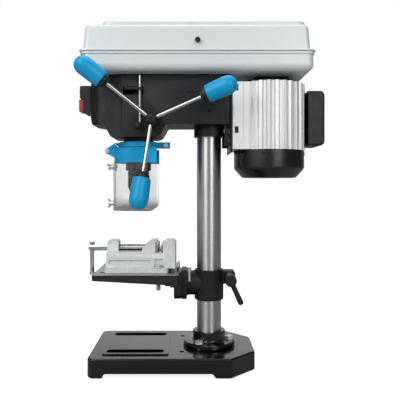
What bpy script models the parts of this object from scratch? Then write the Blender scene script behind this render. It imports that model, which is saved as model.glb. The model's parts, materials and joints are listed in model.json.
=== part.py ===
"""Bench drill press, 13 mm chuck, with a tilting table, a drill vise and a flip-up chuck guard.

Sizes below are in millimetres, in the machine's own frame: the column's axis is X = 0, Y = 0,
+X runs to the back where the motor hangs, -Y is the operator's right-hand side, and the floor
is Z = 0. The root empty moves that frame so that the centre of the bounding box is the origin.
"""

import math

import bmesh
import bpy
from mathutils import Matrix, Vector

MM = 0.001
GAP = 0.3  # between two pieces that touch

# ---- driving dimensions -------------------------------------------------------------------
OVERALL_FRONT, OVERALL_BACK = -244.0, 211.6
OVERALL_RIGHT, OVERALL_LEFT = -127.33, 92.3
OVERALL_HEIGHT = 627.0

THROAT = 134.0  # column axis to spindle axis
COLUMN_RADIUS = 23.0
COLUMN_TOP = 512.0
BASE_FRONT, BASE_BACK, BASE_HALF_WIDTH = -215.5, 81.7, 91.0
BASE_TOP = 34.5
TABLE_FRONT, TABLE_BACK, TABLE_HALF_WIDTH, TABLE_TOP = -209.0, -53.0, 79.0, 177.0
HEAD_HALF_WIDTH = 50.0
HEAD_BOTTOM, HEAD_TOP = 423.0, 536.0
SEAM = 570.0  # where the belt cover's lid meets its tray
COVER_FRONT, COVER_BACK, COVER_HALF_WIDTH = -231.4, 185.5, 85.0
HUB_X, HUB_Z = -103.5, 451.0  # feed shaft, which runs along Y
PINION_PITCH_RADIUS, QUILL_RADIUS = 10.5, 20.0
PINION_TEETH = 14
FEED_SHAFT_RADIUS = 8.0
MOTOR_X, MOTOR_RADIUS = 113.5, 67.0
SPINDLE_X = -THROAT
GUARD_HINGE_X, GUARD_HINGE_Z = -190.0, 399.0
LID_HINGE_Y, LID_HINGE_Z = 88.9, 571.0


# ---- materials ----------------------------------------------------------------------------
FINISHES = {
    "black_paint": ((0.012, 0.012, 0.013), 0.22, 0.0),
    "black_casting": ((0.03, 0.031, 0.034), 0.5, 0.0),
    "grey_paint": ((0.68, 0.7, 0.69), 0.35, 0.0),
    "machined_iron": ((0.3, 0.31, 0.32), 0.38, 0.8),
    "vise_casting": ((0.6, 0.62, 0.63), 0.5, 0.4),
    "ground_steel": ((0.55, 0.55, 0.56), 0.22, 1.0),
    "chrome": ((0.8, 0.8, 0.82), 0.08, 1.0),
    "zinc": ((0.6, 0.62, 0.64), 0.3, 1.0),
    "dark_steel": ((0.06, 0.06, 0.065), 0.4, 0.8),
    "aluminium": ((0.72, 0.73, 0.74), 0.35, 1.0),
    "blue_plastic": ((0.01, 0.33, 0.68), 0.3, 0.0),
    "clear_plastic": ((0.85, 0.88, 0.88), 0.1, 0.0),
    "black_plastic": ((0.02, 0.02, 0.021), 0.45, 0.0),
    "red_plastic": ((0.6, 0.02, 0.03), 0.35, 0.0),
    "green_plastic": ((0.02, 0.3, 0.08), 0.35, 0.0),
    "rubber": ((0.015, 0.015, 0.015), 0.8, 0.0),
}


def material(name):
    """The Principled material called name, made on first use."""
    found = bpy.data.materials.get(name)
    if found:
        return found
    colour, roughness, metallic = FINISHES[name]
    made = bpy.data.materials.new(name)
    made.use_nodes = True
    shader = made.node_tree.nodes["Principled BSDF"]
    shader.inputs["Base Color"].default_value = (*colour, 1.0)
    shader.inputs["Roughness"].default_value = roughness
    shader.inputs["Metallic"].default_value = metallic
    return made


# ---- shape helpers ------------------------------------------------------------------------
def clear_scene():
    for old in list(bpy.data.objects):
        bpy.data.objects.remove(old)


def collection(name):
    found = bpy.data.collections.get(name)
    if not found:
        found = bpy.data.collections.new(name)
        bpy.context.scene.collection.children.link(found)
    return found


def place(name, mesh, finish):
    """Puts a mesh in the scene as a named part with its own material."""
    made = bpy.data.objects.new(name, mesh)
    collection("drill_press").objects.link(made)
    made.data.materials.clear()
    made.data.materials.append(material(finish))
    return made


def moved(mesh, matrix):
    mesh.transform(matrix)
    return mesh


def box_mesh(low, high):
    """A box between two opposite corners."""
    low, high = Vector(low) * MM, Vector(high) * MM
    cage = bmesh.new()
    bmesh.ops.create_cube(cage, size=1.0)
    for vert in cage.verts:
        vert.co = Vector((low[i] + (high[i] - low[i]) * (vert.co[i] + 0.5)) for i in range(3))
    mesh = bpy.data.meshes.new("box")
    cage.to_mesh(mesh)
    cage.free()
    return mesh


def rod_mesh(start, end, radius, end_radius=None, sides=20, turn=0.0):
    """A cylinder or cone from start to end, turned about its own axis by turn degrees."""
    start, end = Vector(start) * MM, Vector(end) * MM
    run = end - start
    cage = bmesh.new()
    bmesh.ops.create_cone(
        cage,
        cap_ends=True,
        segments=sides,
        radius1=radius * MM,
        radius2=(radius if end_radius is None else end_radius) * MM,
        depth=run.length,
        matrix=Matrix.Rotation(math.radians(turn), 4, "Z"),
    )
    mesh = bpy.data.meshes.new("rod")
    cage.to_mesh(mesh)
    cage.free()
    aim = run.to_track_quat("Z", "Y").to_matrix().to_4x4()
    return moved(mesh, Matrix.Translation((start + end) / 2) @ aim)


def turned_mesh(profile, steps=24, closed=False):
    """A lathe-turned shape about Z. The profile's (radius, z) points run down its outer side."""
    mesh = bpy.data.meshes.new("profile")
    points = [(r * MM, 0.0, z * MM) for r, z in profile]
    edges = [(i, i + 1) for i in range(len(points) - 1)]
    if closed:
        edges.append((len(points) - 1, 0))
    mesh.from_pydata(points, edges, [])
    holder = bpy.data.objects.new("profile", mesh)
    bpy.context.scene.collection.objects.link(holder)
    screw = holder.modifiers.new("turn", "SCREW")
    screw.steps = screw.render_steps = steps
    screw.use_merge_vertices = True
    screw.merge_threshold = 0.00001
    screw.use_normal_calculate = False
    return baked(holder)


def ring_mesh(outer, inner, low, high, steps=24):
    """A plain ring about Z."""
    return turned_mesh([(outer, high), (outer, low), (inner, low), (inner, high)], steps, True)


def baked(holder):
    """The evaluated mesh of a helper object, which is then removed."""
    bpy.context.view_layer.update()
    graph = bpy.context.evaluated_depsgraph_get()
    mesh = bpy.data.meshes.new_from_object(holder.evaluated_get(graph))
    cage = bmesh.new()
    cage.from_mesh(mesh)
    bmesh.ops.remove_doubles(cage, verts=cage.verts, dist=0.000002)
    cage.to_mesh(mesh)
    cage.free()
    mesh.transform(holder.matrix_world)
    bpy.data.objects.remove(holder)
    return mesh


def rounded(corners, steps=4):
    """An outline whose (x, y, radius) corners are rounded by arcs of that radius."""
    points = []
    for i, (x, y, radius) in enumerate(corners):
        here = Vector((x, y))
        if not radius:
            points.append(here)
            continue
        back = (Vector(corners[i - 1][:2]) - here).normalized()
        ahead = (Vector(corners[(i + 1) % len(corners)][:2]) - here).normalized()
        half = back.angle(ahead) / 2
        centre = here + (back + ahead).normalized() * (radius / math.sin(half))
        first = here + back * (radius / math.tan(half))
        sweep = math.pi - 2 * half
        side = 1 if back.cross(ahead) < 0 else -1
        for k in range(steps + 1):
            swung = Matrix.Rotation(side * sweep * k / steps, 2) @ (first - centre)
            points.append(centre + swung)
    return points


def rectangle(x_low, x_high, y_low, y_high, radius=0.0):
    """A rectangle's corners, for rounded()."""
    return [(x, y, radius) for x, y in
            ((x_low, y_low), (x_high, y_low), (x_high, y_high), (x_low, y_high))]


def plate_mesh(outline, low, high, along="Z"):
    """A flat outline given thickness. Along Z it is drawn in X, Y; along Y in X, Z; along X in Y, Z."""
    curve = bpy.data.curves.new("outline", "CURVE")
    curve.dimensions = "2D"
    curve.fill_mode = "BOTH"
    curve.extrude = (high - low) / 2 * MM
    spline = curve.splines.new("POLY")
    spline.points.add(len(outline) - 1)
    for point, at in zip(spline.points, outline):
        point.co = (at[0] * MM, at[1] * MM, 0.0, 1.0)
    spline.use_cyclic_u = True
    holder = bpy.data.objects.new("outline", curve)
    bpy.context.scene.collection.objects.link(holder)
    middle = (low + high) / 2 * MM
    holder.matrix_world = {
        "Z": Matrix.Translation((0, 0, middle)),
        "Y": Matrix.Translation((0, middle, 0)) @ Matrix.Rotation(math.radians(90), 4, "X"),
        "X": Matrix(((0, 0, 1, middle), (1, 0, 0, 0), (0, 1, 0, 0), (0, 0, 0, 1))),
    }[along]
    return baked(holder)


def cutter(mesh, name):
    made = bpy.data.objects.new(name, mesh)
    collection("cutters").objects.link(made)
    made.hide_render = True
    made.display_type = "WIRE"
    return made


def boolean(part, mesh, operation):
    step = part.modifiers.new(operation.lower(), "BOOLEAN")
    step.operation = operation
    step.object = cutter(mesh, f"{part.name}_{operation.lower()}")
    return part


def cut(part, *meshes):
    for mesh in meshes:
        boolean(part, mesh, "DIFFERENCE")
    return part


def join(part, *meshes):
    for mesh in meshes:
        boolean(part, mesh, "UNION")
    return part


def around(x, y, radius, count, first=0.0):
    """Points evenly round a circle, starting first degrees from +X."""
    for i in range(count):
        angle = math.radians(first + 360.0 * i / count)
        yield x + radius * math.cos(angle), y + radius * math.sin(angle)


def shift(mesh, x=0.0, y=0.0, z=0.0):
    return moved(mesh, Matrix.Translation(Vector((x, y, z)) * MM))


def turned_at(x, y, profile, steps=24, closed=False):
    return shift(turned_mesh(profile, steps, closed), x, y)


def ring_at(x, y, outer, inner, low, high, steps=24):
    return shift(ring_mesh(outer, inner, low, high, steps), x, y)


def aimed(mesh, at, direction):
    """Moves a mesh made along Z so that Z points along direction, with its origin at a point."""
    aim = Vector(direction).to_track_quat("Z", "Y").to_matrix().to_4x4()
    return moved(mesh, Matrix.Translation(Vector(at) * MM) @ aim)


def bolt(name, seat, outward, head_radius, head_height, shank_radius, length, finish="zinc", sides=6):
    """A hex-head screw whose head stands outward from its seat, its shank the other way."""
    profile = [
        (0, head_height), (head_radius, head_height), (head_radius, 0),
        (shank_radius, 0), (shank_radius, -length), (0, -length),
    ]
    return place(name, aimed(turned_mesh(profile, sides), seat, outward), finish)


def socket_mesh(seat, outward, radius, length, sides=12):
    """The hole that a screw's shank goes into."""
    return aimed(turned_mesh([(0, 1), (radius, 1), (radius, -length), (0, -length)], sides), seat, outward)


# ---- stand: base, flange and column ---------------------------------------------------------
BASE_WALL = 7.0
PAD_TOP = 37.0
FLANGE_BOLT_CIRCLE = 38.5
FLANGE_TOP = 44.0


def make_base():
    chamfer = 46.0
    outline = rounded([
        (BASE_FRONT, -BASE_HALF_WIDTH, 13), (BASE_BACK - chamfer, -BASE_HALF_WIDTH, 5),
        (BASE_BACK, -BASE_HALF_WIDTH + chamfer, 5), (BASE_BACK, BASE_HALF_WIDTH - chamfer, 5),
        (BASE_BACK - chamfer, BASE_HALF_WIDTH, 5), (BASE_FRONT, BASE_HALF_WIDTH, 13),
    ], 3)
    base = place("base", plate_mesh(outline, 0, BASE_TOP), "black_paint")
    platform = rounded(rectangle(-192, -74, -70, 70, 5), 2)
    join(base, plate_mesh(platform, BASE_TOP - 3, PAD_TOP), ring_at(0, 0, 42, 10, 30, PAD_TOP))
    inside = rounded([
        (BASE_FRONT + BASE_WALL, -BASE_HALF_WIDTH + BASE_WALL, 6),
        (BASE_BACK - chamfer - 3, -BASE_HALF_WIDTH + BASE_WALL, 2),
        (BASE_BACK - BASE_WALL, -BASE_HALF_WIDTH + chamfer + 3, 2),
        (BASE_BACK - BASE_WALL, BASE_HALF_WIDTH - chamfer - 3, 2),
        (BASE_BACK - chamfer - 3, BASE_HALF_WIDTH - BASE_WALL, 2),
        (BASE_FRONT + BASE_WALL, BASE_HALF_WIDTH - BASE_WALL, 6),
    ], 2)
    cut(base, plate_mesh(inside, -2, BASE_TOP - BASE_WALL))
    arch = [(-190, -2), (12, -2), (3, 8.6), (-185, 8.6)]
    cut(base, plate_mesh(arch, -120, 120, "Y"))
    for side in (-1, 1):
        slot = rounded(rectangle(-186, -83, 54 * side - 9.5, 54 * side + 9.5, 7), 3)
        cut(base, plate_mesh(slot, 20, 45))
        cut(base, rod_mesh((-51, 50 * side, 20), (-51, 50 * side, 45), 4.5, sides=12))
    for x, y in around(0, 0, FLANGE_BOLT_CIRCLE, 3):
        cut(base, socket_mesh((x, y, 45), (0, 0, 1), 4.4, 30, 6))
    return base


def make_flange():
    bore = COLUMN_RADIUS + GAP
    profile = [
        (30.5, 62), (30.5, FLANGE_TOP), (47.5, FLANGE_TOP), (48.5, 43),
        (48.5, PAD_TOP + GAP), (bore, PAD_TOP + GAP), (bore, 62),
    ]
    flange = place("column_flange", turned_mesh(profile, 32, True), "black_paint")
    for i, (x, y) in enumerate(around(0, 0, FLANGE_BOLT_CIRCLE, 3)):
        cut(flange, rod_mesh((x, y, 30), (x, y, 56), 4.4, sides=10, turn=7))
        bolt(f"flange_bolt_{i + 1}", (x, y, FLANGE_TOP + GAP), (0, 0, 1), 7.2, 5.5, 4.0, 13)
    return flange


def make_column():
    tube = ring_mesh(COLUMN_RADIUS, COLUMN_RADIUS - 3, PAD_TOP + GAP, COLUMN_TOP, 36)
    return place("column", tube, "ground_steel")


# ---- table and its bracket ------------------------------------------------------------------
ARM_Z = 150.5  # axis of the table's tilt joint
COLLAR_LOW, COLLAR_HIGH = 120.0, 176.5
COLLAR_RADIUS = 27.5
LOCK_X, LOCK_Z = 38.0, 162.0
TILT_FACE = -52.0
SLOT_Y, VISE_BOLT_X = 49.0, -93.0


def make_bracket():
    bracket = place("table_bracket", rod_mesh((0, 0, COLLAR_LOW), (0, 0, COLLAR_HIGH),
                                              COLLAR_RADIUS, sides=36), "black_casting")
    flange = rounded(rectangle(-30, 30, 123, 178, 12), 3)
    join(
        bracket,
        rod_mesh((-50, 0, ARM_Z), (0, 0, ARM_Z), 23, sides=24),
        plate_mesh(flange, TILT_FACE, -42, "X"),
        box_mesh((20, -13, LOCK_Z - 12), (49, 13, LOCK_Z + 12)),
    )
    cut(
        bracket,
        rod_mesh((0, 0, 100), (0, 0, 200), COLUMN_RADIUS + GAP, sides=36),
        box_mesh((15, -2.2, 100), (60, 2.2, 200)),
        rod_mesh((LOCK_X, -40, LOCK_Z), (LOCK_X, 40, LOCK_Z), 4.6, sides=12),
        rod_mesh((-60, 0, ARM_Z), (-28, 0, ARM_Z), 6.6, sides=12),
    )
    return bracket


def make_lock():
    """The clamp stud through the collar's lugs, and the L-shaped lever that turns it."""
    arm_end = Vector((57.5, -48.5, 119))
    lever = place("table_lock_lever", rod_mesh((LOCK_X, -13.6, LOCK_Z), (LOCK_X, -53, LOCK_Z), 10.8,
                                               sides=20), "black_plastic")
    join(lever, rod_mesh((LOCK_X, -46, LOCK_Z), arm_end, 5.2, sides=12))
    join(lever, rod_mesh((LOCK_X, -14, LOCK_Z), (LOCK_X, 22, LOCK_Z), 4.2, sides=12))
    return lever


def make_table():
    plan = rounded(rectangle(TABLE_FRONT, TABLE_BACK - 3, -TABLE_HALF_WIDTH, TABLE_HALF_WIDTH, 5), 2)
    table = place("work_table", plate_mesh(plan, 158, TABLE_TOP), "machined_iron")
    boss = rounded(rectangle(-30, 30, 123.5, 175, 12), 3)
    join(
        table,
        box_mesh((-60.5, -42, 170), (-56.5, 42, 187)),
        plate_mesh(boss, -66, TILT_FACE - GAP - 0.2, "X"),
    )
    under = [(-204, 150), (-204, 169), (-66.4, 169), (-66.4, 150)]
    slope = [(-230, 140), (-230, 167), (TABLE_FRONT + 3, 167), (-80, 160), (-72, 140)]
    cut(
        table,
        plate_mesh(under, -TABLE_HALF_WIDTH + 5, TABLE_HALF_WIDTH - 5, "Y"),
        plate_mesh(slope, -100, 100, "Y"),
        rod_mesh((-90, 0, ARM_Z), (-30, 0, ARM_Z), 6.6, sides=12),
    )
    for side in (-1, 1):
        y = SLOT_Y * side
        slot = rounded(rectangle(-200, -68, y - 5, y + 5, 4.5), 3)
        cut(table, plate_mesh(slot, 150, 190))
        name = "vise_bolt_1" if side < 0 else "vise_bolt_2"
        bolt(name, (VISE_BOLT_X, y, FOOT_TOP + GAP), (0, 0, 1), 7.4, 5.0, 4.0, 41)
    return table


def make_tilt_bolt():
    """The hinge bolt of the tilting table, through the table's boss and the bracket's arm."""
    bolt("table_tilt_bolt", (-67, 0, ARM_Z), (-1, 0, 0), 10, 7, 6.2, 36, "zinc")


# ---- drill vise -------------------------------------------------------------------------------
VISE_HALF_WIDTH, FOOT_HALF_WIDTH = 44.0, 56.0
FOOT_TOP, VISE_TOP, JAW_TOP = 186.0, 212.0, 230.0
SCREW_Z, SCREW_RADIUS = 217.5, 6.5
SCREW_FRONT, SCREW_BACK = -228.0, -103.0
TOMMY_X, TOMMY_RADIUS, TOMMY_CAP_RADIUS = -222.0, 3.9, 5.2


def make_vise():
    low = FOOT_TOP - 2
    body = place("vise_body", box_mesh((-189, -VISE_HALF_WIDTH, low), (-63, VISE_HALF_WIDTH, VISE_TOP)),
                 "vise_casting")
    foot = rounded(rectangle(-191, -75, -FOOT_HALF_WIDTH, FOOT_HALF_WIDTH, 6), 2)
    fixed = [(-85, 200), (-85, JAW_TOP - 3), (-82, JAW_TOP), (-67, JAW_TOP), (-63, JAW_TOP - 4), (-63, 200)]
    lug = rounded([(-191, 200, 0), (-170, 200, 0), (-170, 232, 3), (-191, 232, 3)], 2)
    join(
        body,
        plate_mesh(foot, TABLE_TOP + GAP, FOOT_TOP),
        plate_mesh(fixed, -VISE_HALF_WIDTH, VISE_HALF_WIDTH, "Y"),
        plate_mesh(lug, -16, 16, "Y"),
    )
    # the slot that the jaw's tongue runs in, and the hollows under the bed and the fixed jaw
    cut(
        body,
        box_mesh((-169.7, -8, 204), (-85.3, 8, 215)),
        box_mesh((-166, -8, 170), (-90, 8, 206)),
        box_mesh((-182, 13, 170), (-106, 38, 205)),
        box_mesh((-182, -38, 170), (-106, -13, 205)),
        box_mesh((-83.5, -37, 170), (-69, 37, 219)),
        rod_mesh((-195, 0, SCREW_Z), (-160, 0, SCREW_Z), SCREW_RADIUS + GAP, sides=16),
    )
    for side in (-1, 1):
        at = (VISE_BOLT_X, SLOT_Y * side)
        cut(body, socket_mesh((*at, 190), (0, 0, 1), 4.6, 30, 12),
            rod_mesh((*at, FOOT_TOP), (*at, 201), 9.5, sides=14, turn=5))
    join(body, box_mesh((-89, -VISE_HALF_WIDTH + 2, VISE_TOP + 1), (-84, VISE_HALF_WIDTH - 2, 226)))
    return body


def make_moving_jaw():
    low = VISE_TOP + GAP
    side = [(-123, low), (-123, 220), (-110, JAW_TOP), (-99, JAW_TOP), (-99, low)]
    jaw = place("vise_moving_jaw", plate_mesh(side, -VISE_HALF_WIDTH, VISE_HALF_WIDTH, "Y"),
                "vise_casting")
    join(jaw, box_mesh((-117, -7.4, 192), (-101, 7.4, 214)))
    cut(jaw, rod_mesh((-130, 0, SCREW_Z), (SCREW_BACK + GAP, 0, SCREW_Z), SCREW_RADIUS + GAP, sides=16))
    join(jaw, box_mesh((-100, -VISE_HALF_WIDTH + 2, VISE_TOP + 1), (-95, VISE_HALF_WIDTH - 2, 226)))
    return jaw


def make_vise_screw():
    start, end = (SCREW_FRONT, 0, SCREW_Z), (SCREW_BACK, 0, SCREW_Z)
    screw = place("vise_screw", rod_mesh(start, end, SCREW_RADIUS, sides=16), "chrome")
    cut(screw, rod_mesh((TOMMY_X, 0, 200), (TOMMY_X, 0, 240), TOMMY_RADIUS + 0.5, sides=12))
    bar = [(0, 228), (TOMMY_CAP_RADIUS, 228), (TOMMY_CAP_RADIUS, 224.6), (TOMMY_RADIUS, 224.6)]
    bar += [(TOMMY_RADIUS, 171), (TOMMY_CAP_RADIUS, 171), (TOMMY_CAP_RADIUS, 166), (0, 166)]
    place("vise_tommy_bar", shift(turned_mesh(bar, 12), TOMMY_X), "chrome")
    return screw


# ---- head casting -------------------------------------------------------------------------------
BOSS_RADIUS, BOSS_BOTTOM = 28.5, 404.0
HEAD_WALL = 6.0
HEAD_FLOOR = 446.0  # underside of the head from the quill's boss back to the motor
HEAD_COLLAR_RADIUS, HEAD_COLLAR_BOTTOM = 28.5, 426.0  # round the column
WEB_BOTTOM = HEAD_FLOOR + 3
PINION_CLEARANCE = 12.8
SLIDE_ROD_Y, SLIDE_ROD_Z, SLIDE_ROD_RADIUS = 38.0, 500.0, 6.0
BEARING_LOW = 524.0
PINION_HALF = 11.0
SWITCH_LOW, SWITCH_HIGH = 469.0, 520.0
STOP_ROD_X, STOP_ROD_Y, STOP_ROD_RADIUS = -126.0, -57.0, 2.2
STOP_BOSS_Z = 443.5


def make_head():
    side = [
        (-220, HEAD_TOP), (-220, 458), (-216.5, 446.5), (-192, 444), (-180, HEAD_BOTTOM), (-99, HEAD_BOTTOM),
        (-90, 426.5), (-84, 436), (-79, HEAD_FLOOR), (37, HEAD_FLOOR), (37, HEAD_TOP),
    ]
    plan = rounded([
        (37, -HEAD_HALF_WIDTH, 4), (37, HEAD_HALF_WIDTH, 4), (-160, HEAD_HALF_WIDTH, 0),
        (-204, 41, 12), (-220, 25, 7), (-220, -25, 7), (-204, -41, 12), (-160, -HEAD_HALF_WIDTH, 0),
    ], 3)
    head = place("head_casting", plate_mesh(side, -60, 60, "Y"), "black_casting")
    boolean(head, plate_mesh(plan, 400, 560), "INTERSECT")
    top = 560
    inside = HEAD_HALF_WIDTH - HEAD_WALL
    # hollow from above, then the bosses that stand in it
    cut(
        head,
        box_mesh((-214, -22, 463), (-165, 22, top)),
        box_mesh((-200, -34, 450), (-165, 34, top)),
        box_mesh((-160, -inside, 431), (-93, inside, top)),
        box_mesh((-100, -inside, HEAD_FLOOR + HEAD_WALL), (31, inside, top)),
    )
    join(
        head,
        rod_mesh((0, 0, HEAD_COLLAR_BOTTOM), (0, 0, COLUMN_TOP + 8), HEAD_COLLAR_RADIUS, sides=32),
        rod_mesh((SPINDLE_X, 0, BOSS_BOTTOM), (SPINDLE_X, 0, 436), BOSS_RADIUS, sides=32),
        rod_mesh((SPINDLE_X, 0, 425), (SPINDLE_X, 0, 521), 25.5, sides=32, turn=3),
        rod_mesh((SPINDLE_X, 0, 517), (SPINDLE_X, 0, HEAD_TOP), 30.4, sides=32),
        box_mesh((-163, -5, 426), (-155, 5, HEAD_TOP - 2)),
    )
    join(
        head,
        rod_mesh((HUB_X, -48, HUB_Z), (HUB_X, 48, HUB_Z), 17, sides=20, turn=4),
        box_mesh((-40, -47, WEB_BOTTOM), (-34, 47, HEAD_TOP - 2)),
        box_mesh((-9, -47, WEB_BOTTOM), (9, -25, 480)),
        box_mesh((-37, -4, WEB_BOTTOM), (-26, 4, 515)),
    )
    for y in (-SLIDE_ROD_Y, SLIDE_ROD_Y):
        join(head, rod_mesh((-37, y, SLIDE_ROD_Z), (34, y, SLIDE_ROD_Z), 9.4, sides=16, turn=5))
    cut(
        head,
        rod_mesh((SPINDLE_X, 0, 390), (SPINDLE_X, 0, top), QUILL_RADIUS + GAP, sides=32),
        rod_mesh((SPINDLE_X, 0, BEARING_LOW), (SPINDLE_X, 0, top), 26.3, sides=32),
        rod_mesh((0, 0, 400), (0, 0, COLUMN_TOP + GAP), COLUMN_RADIUS + GAP, sides=36),
        rod_mesh((HUB_X, -80, HUB_Z), (HUB_X, 80, HUB_Z), FEED_SHAFT_RADIUS + GAP, sides=16),
        rod_mesh((HUB_X, -PINION_HALF - 0.6, HUB_Z), (HUB_X, 80, HUB_Z), PINION_CLEARANCE, sides=20),
        box_mesh((-157, -60, 499), (-120, -42, 514)),
    )
    for y in (-SLIDE_ROD_Y, SLIDE_ROD_Y):
        cut(head, rod_mesh((-60, y, SLIDE_ROD_Z), (60, y, SLIDE_ROD_Z), SLIDE_ROD_RADIUS + GAP, sides=16))
    for z in (431, 469):
        cut(head, socket_mesh((0, -52, z), (0, -1, 0), 3.5, 26, 12))
    return head


# ---- quill, spindle and chuck ---------------------------------------------------------------
QUILL_LOW, QUILL_HIGH = 403.5, 500.0
RACK_PITCH = 2 * math.pi * PINION_PITCH_RADIUS / PINION_TEETH
RACK_GAPS = 20
RACK_LINE = SPINDLE_X + QUILL_RADIUS  # where rack and pinion roll on each other
TOOTH_TOP, TOOTH_ROOT = 1.1, 1.6
CHUCK_TOP = 384.0
SPINDLE_TOP = 606.0


def make_quill():
    quill = place("quill", ring_at(SPINDLE_X, 0, QUILL_RADIUS, 15.3, QUILL_LOW, QUILL_HIGH, 32),
                  "ground_steel")
    top = RACK_LINE + 4
    thick = RACK_PITCH / 2 + 0.35  # width of each gap at the rolling line
    lean = math.tan(math.radians(20))
    first = HUB_Z - 9 * RACK_PITCH
    comb = [(top, first - RACK_PITCH)]
    for i in range(RACK_GAPS):
        middle = first + i * RACK_PITCH
        root, tip = RACK_LINE - TOOTH_ROOT, RACK_LINE + TOOTH_TOP
        for x, half in ((tip, thick / 2 + lean * TOOTH_TOP), (root, thick / 2 - lean * TOOTH_ROOT)):
            comb.append((x, middle - half))
        for x, half in ((root, thick / 2 - lean * TOOTH_ROOT), (tip, thick / 2 + lean * TOOTH_TOP)):
            comb.append((x, middle + half))
    comb.append((top, first + RACK_GAPS * RACK_PITCH))
    return cut(quill, plate_mesh(comb, -PINION_HALF, PINION_HALF, "Y"))


def make_spindle():
    profile = [
        (0, SPINDLE_TOP), (7, SPINDLE_TOP), (7, 520), (8, 518), (8, 402.5), (8, 384.5 + 14),
        (6.2, 398), (5.8, CHUCK_TOP - 20), (0, CHUCK_TOP - 20),
    ]
    place("spindle", turned_at(SPINDLE_X, 0, profile, 16), "ground_steel")
    place("quill_bearing", ring_at(SPINDLE_X, 0, 15.0, 8.3, 405, 416, 20), "ground_steel")


JAW_TILT = 10.0
JAW_RADIUS, JAW_CIRCLE = 2.1, 2.6


def make_chuck():
    body = [
        (6.5, CHUCK_TOP), (23.5, CHUCK_TOP), (24, 383), (24, 364), (22, 362.5), (16, 362.5), (16, 340),
        (14.6, 340), (14.6, 361), (6.5, 364.5),
    ]
    place("chuck_body", turned_at(SPINDLE_X, 0, body, 20, True), "dark_steel")
    sleeve = [
        (19.4, 361.9), (20, 361), (20, 332), (17.5, 326), (13, 316), (10.8, 316), (10.8, 330), (16.4, 339.4),
        (16.4, 361.9),
    ]
    place("chuck_sleeve", turned_at(SPINDLE_X, 0, sleeve, 20, True), "dark_steel")
    tilt = math.radians(JAW_TILT)
    for i, (x, y) in enumerate(around(0, 0, 1, 3, 90)):
        outward = Vector((x, y, 0))
        low = Vector((SPINDLE_X, 0, 312)) + outward * JAW_CIRCLE
        run = Vector((x * math.sin(tilt), y * math.sin(tilt), math.cos(tilt)))
        place(f"chuck_jaw_{i + 1}", rod_mesh(low, low + run * 25, JAW_RADIUS, sides=8), "dark_steel")


# ---- feed shaft, hub and levers ----------------------------------------------------------------
LEVER_TILT = math.radians(12)
LEVER_START, LEVER_END = 5.5, 160.0
LEVER_FIRST = 22.2
LEVER_Y = -80.7
KNOB_RADIUS, KNOB_START = 16.8, 105.0
FERRULE_START = 94.0
FERRULE_RADIUS = 12.4
ROD_RADIUS = 3.6
SPRING_TURNS, SPRING_HALF_THICKNESS = 3, 0.5


def pinion_mesh():
    teeth = []
    root, tip = PINION_PITCH_RADIUS - 1.4, PINION_PITCH_RADIUS + 1.0
    for i in range(PINION_TEETH):
        middle = math.pi + 2 * math.pi * i / PINION_TEETH
        for radius, half in ((root, 0.172), (tip, 0.062)):
            teeth.append((radius, middle - half))
        for radius, half in ((tip, 0.062), (root, 0.172)):
            teeth.append((radius, middle + half))
    outline = [(HUB_X + r * math.cos(a), HUB_Z + r * math.sin(a)) for r, a in teeth]
    return plate_mesh(outline, -PINION_HALF + 0.4, PINION_HALF - 0.4, "Y")


def make_feed():
    shaft = place("feed_shaft", rod_mesh((HUB_X, -68, HUB_Z), (HUB_X, 64, HUB_Z), FEED_SHAFT_RADIUS, sides=16),
                  "ground_steel")
    join(shaft, pinion_mesh())
    bore = FEED_SHAFT_RADIUS + GAP
    hub = [(0, 90.5), (7.5, 90.5), (9.6, 88), (9.6, 74), (12, 71), (12, 50.8), (bore, 50.8), (bore, 68.3),
           (0, 68.3)]
    hub_part = place("feed_hub", aimed(turned_mesh(hub, 16), (HUB_X, 0, HUB_Z),
                                       (0, -1, 0)), "black_casting")
    for i in range(3):
        angle = math.radians(LEVER_FIRST + 120 * i)
        flat = Vector((math.cos(angle), 0, math.sin(angle)))
        root = Vector((HUB_X, LEVER_Y, HUB_Z))
        run = flat * math.cos(LEVER_TILT) + Vector((0, -math.sin(LEVER_TILT), 0))

        def along(reach):
            return root + run * (reach / math.cos(LEVER_TILT))

        cut(hub_part, rod_mesh(along(LEVER_START), along(30), ROD_RADIUS + GAP, sides=12))
        rod = rod_mesh(along(LEVER_START + 0.4), along(KNOB_START + 18), ROD_RADIUS, sides=12)
        place(f"lever_rod_{i + 1}", rod, "chrome")
        dome = LEVER_END - KNOB_RADIUS - KNOB_START
        profile = [
            (KNOB_RADIUS * math.sin(a), dome + KNOB_RADIUS * math.cos(a))
            for a in (math.radians(d) for d in (0, 30, 60, 90))
        ]
        collar = FERRULE_START - KNOB_START
        profile += [(15.2, 2), (13.5, 0), (FERRULE_RADIUS, 0), (FERRULE_RADIUS, -6.5), (9, -7.5), (9, collar)]
        profile += [(ROD_RADIUS + GAP, collar), (ROD_RADIUS + GAP, 19), (0, 19)]
        place(f"lever_knob_{i + 1}", aimed(turned_mesh(profile, 16), along(KNOB_START), run),
              "blue_plastic")


def make_return_spring():
    """The clock spring that lifts the quill, in its cup on the head's left side."""
    cup = [(22.4, 67), (22.4, 50.6), (20.2, 50.6), (20.2, 65), (8.4, 65), (8.4, 67)]
    cup_mesh = aimed(turned_mesh([(r, z) for r, z in cup], 28, True), (HUB_X, 0, HUB_Z), (0, 1, 0))
    place("return_spring_cover", cup_mesh, "dark_steel")
    steps = 14
    inner, outer = [], []
    for k in range(SPRING_TURNS * steps + 1):
        angle = 2 * math.pi * k / steps
        radius = 10 + 3.0 * k / steps
        for ring, r in ((inner, radius - SPRING_HALF_THICKNESS), (outer, radius + SPRING_HALF_THICKNESS)):
            ring.append((HUB_X + r * math.cos(angle), HUB_Z + r * math.sin(angle)))
    place("return_spring", plate_mesh(inner + outer[::-1], 52, 63, "Y"), "ground_steel")


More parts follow.
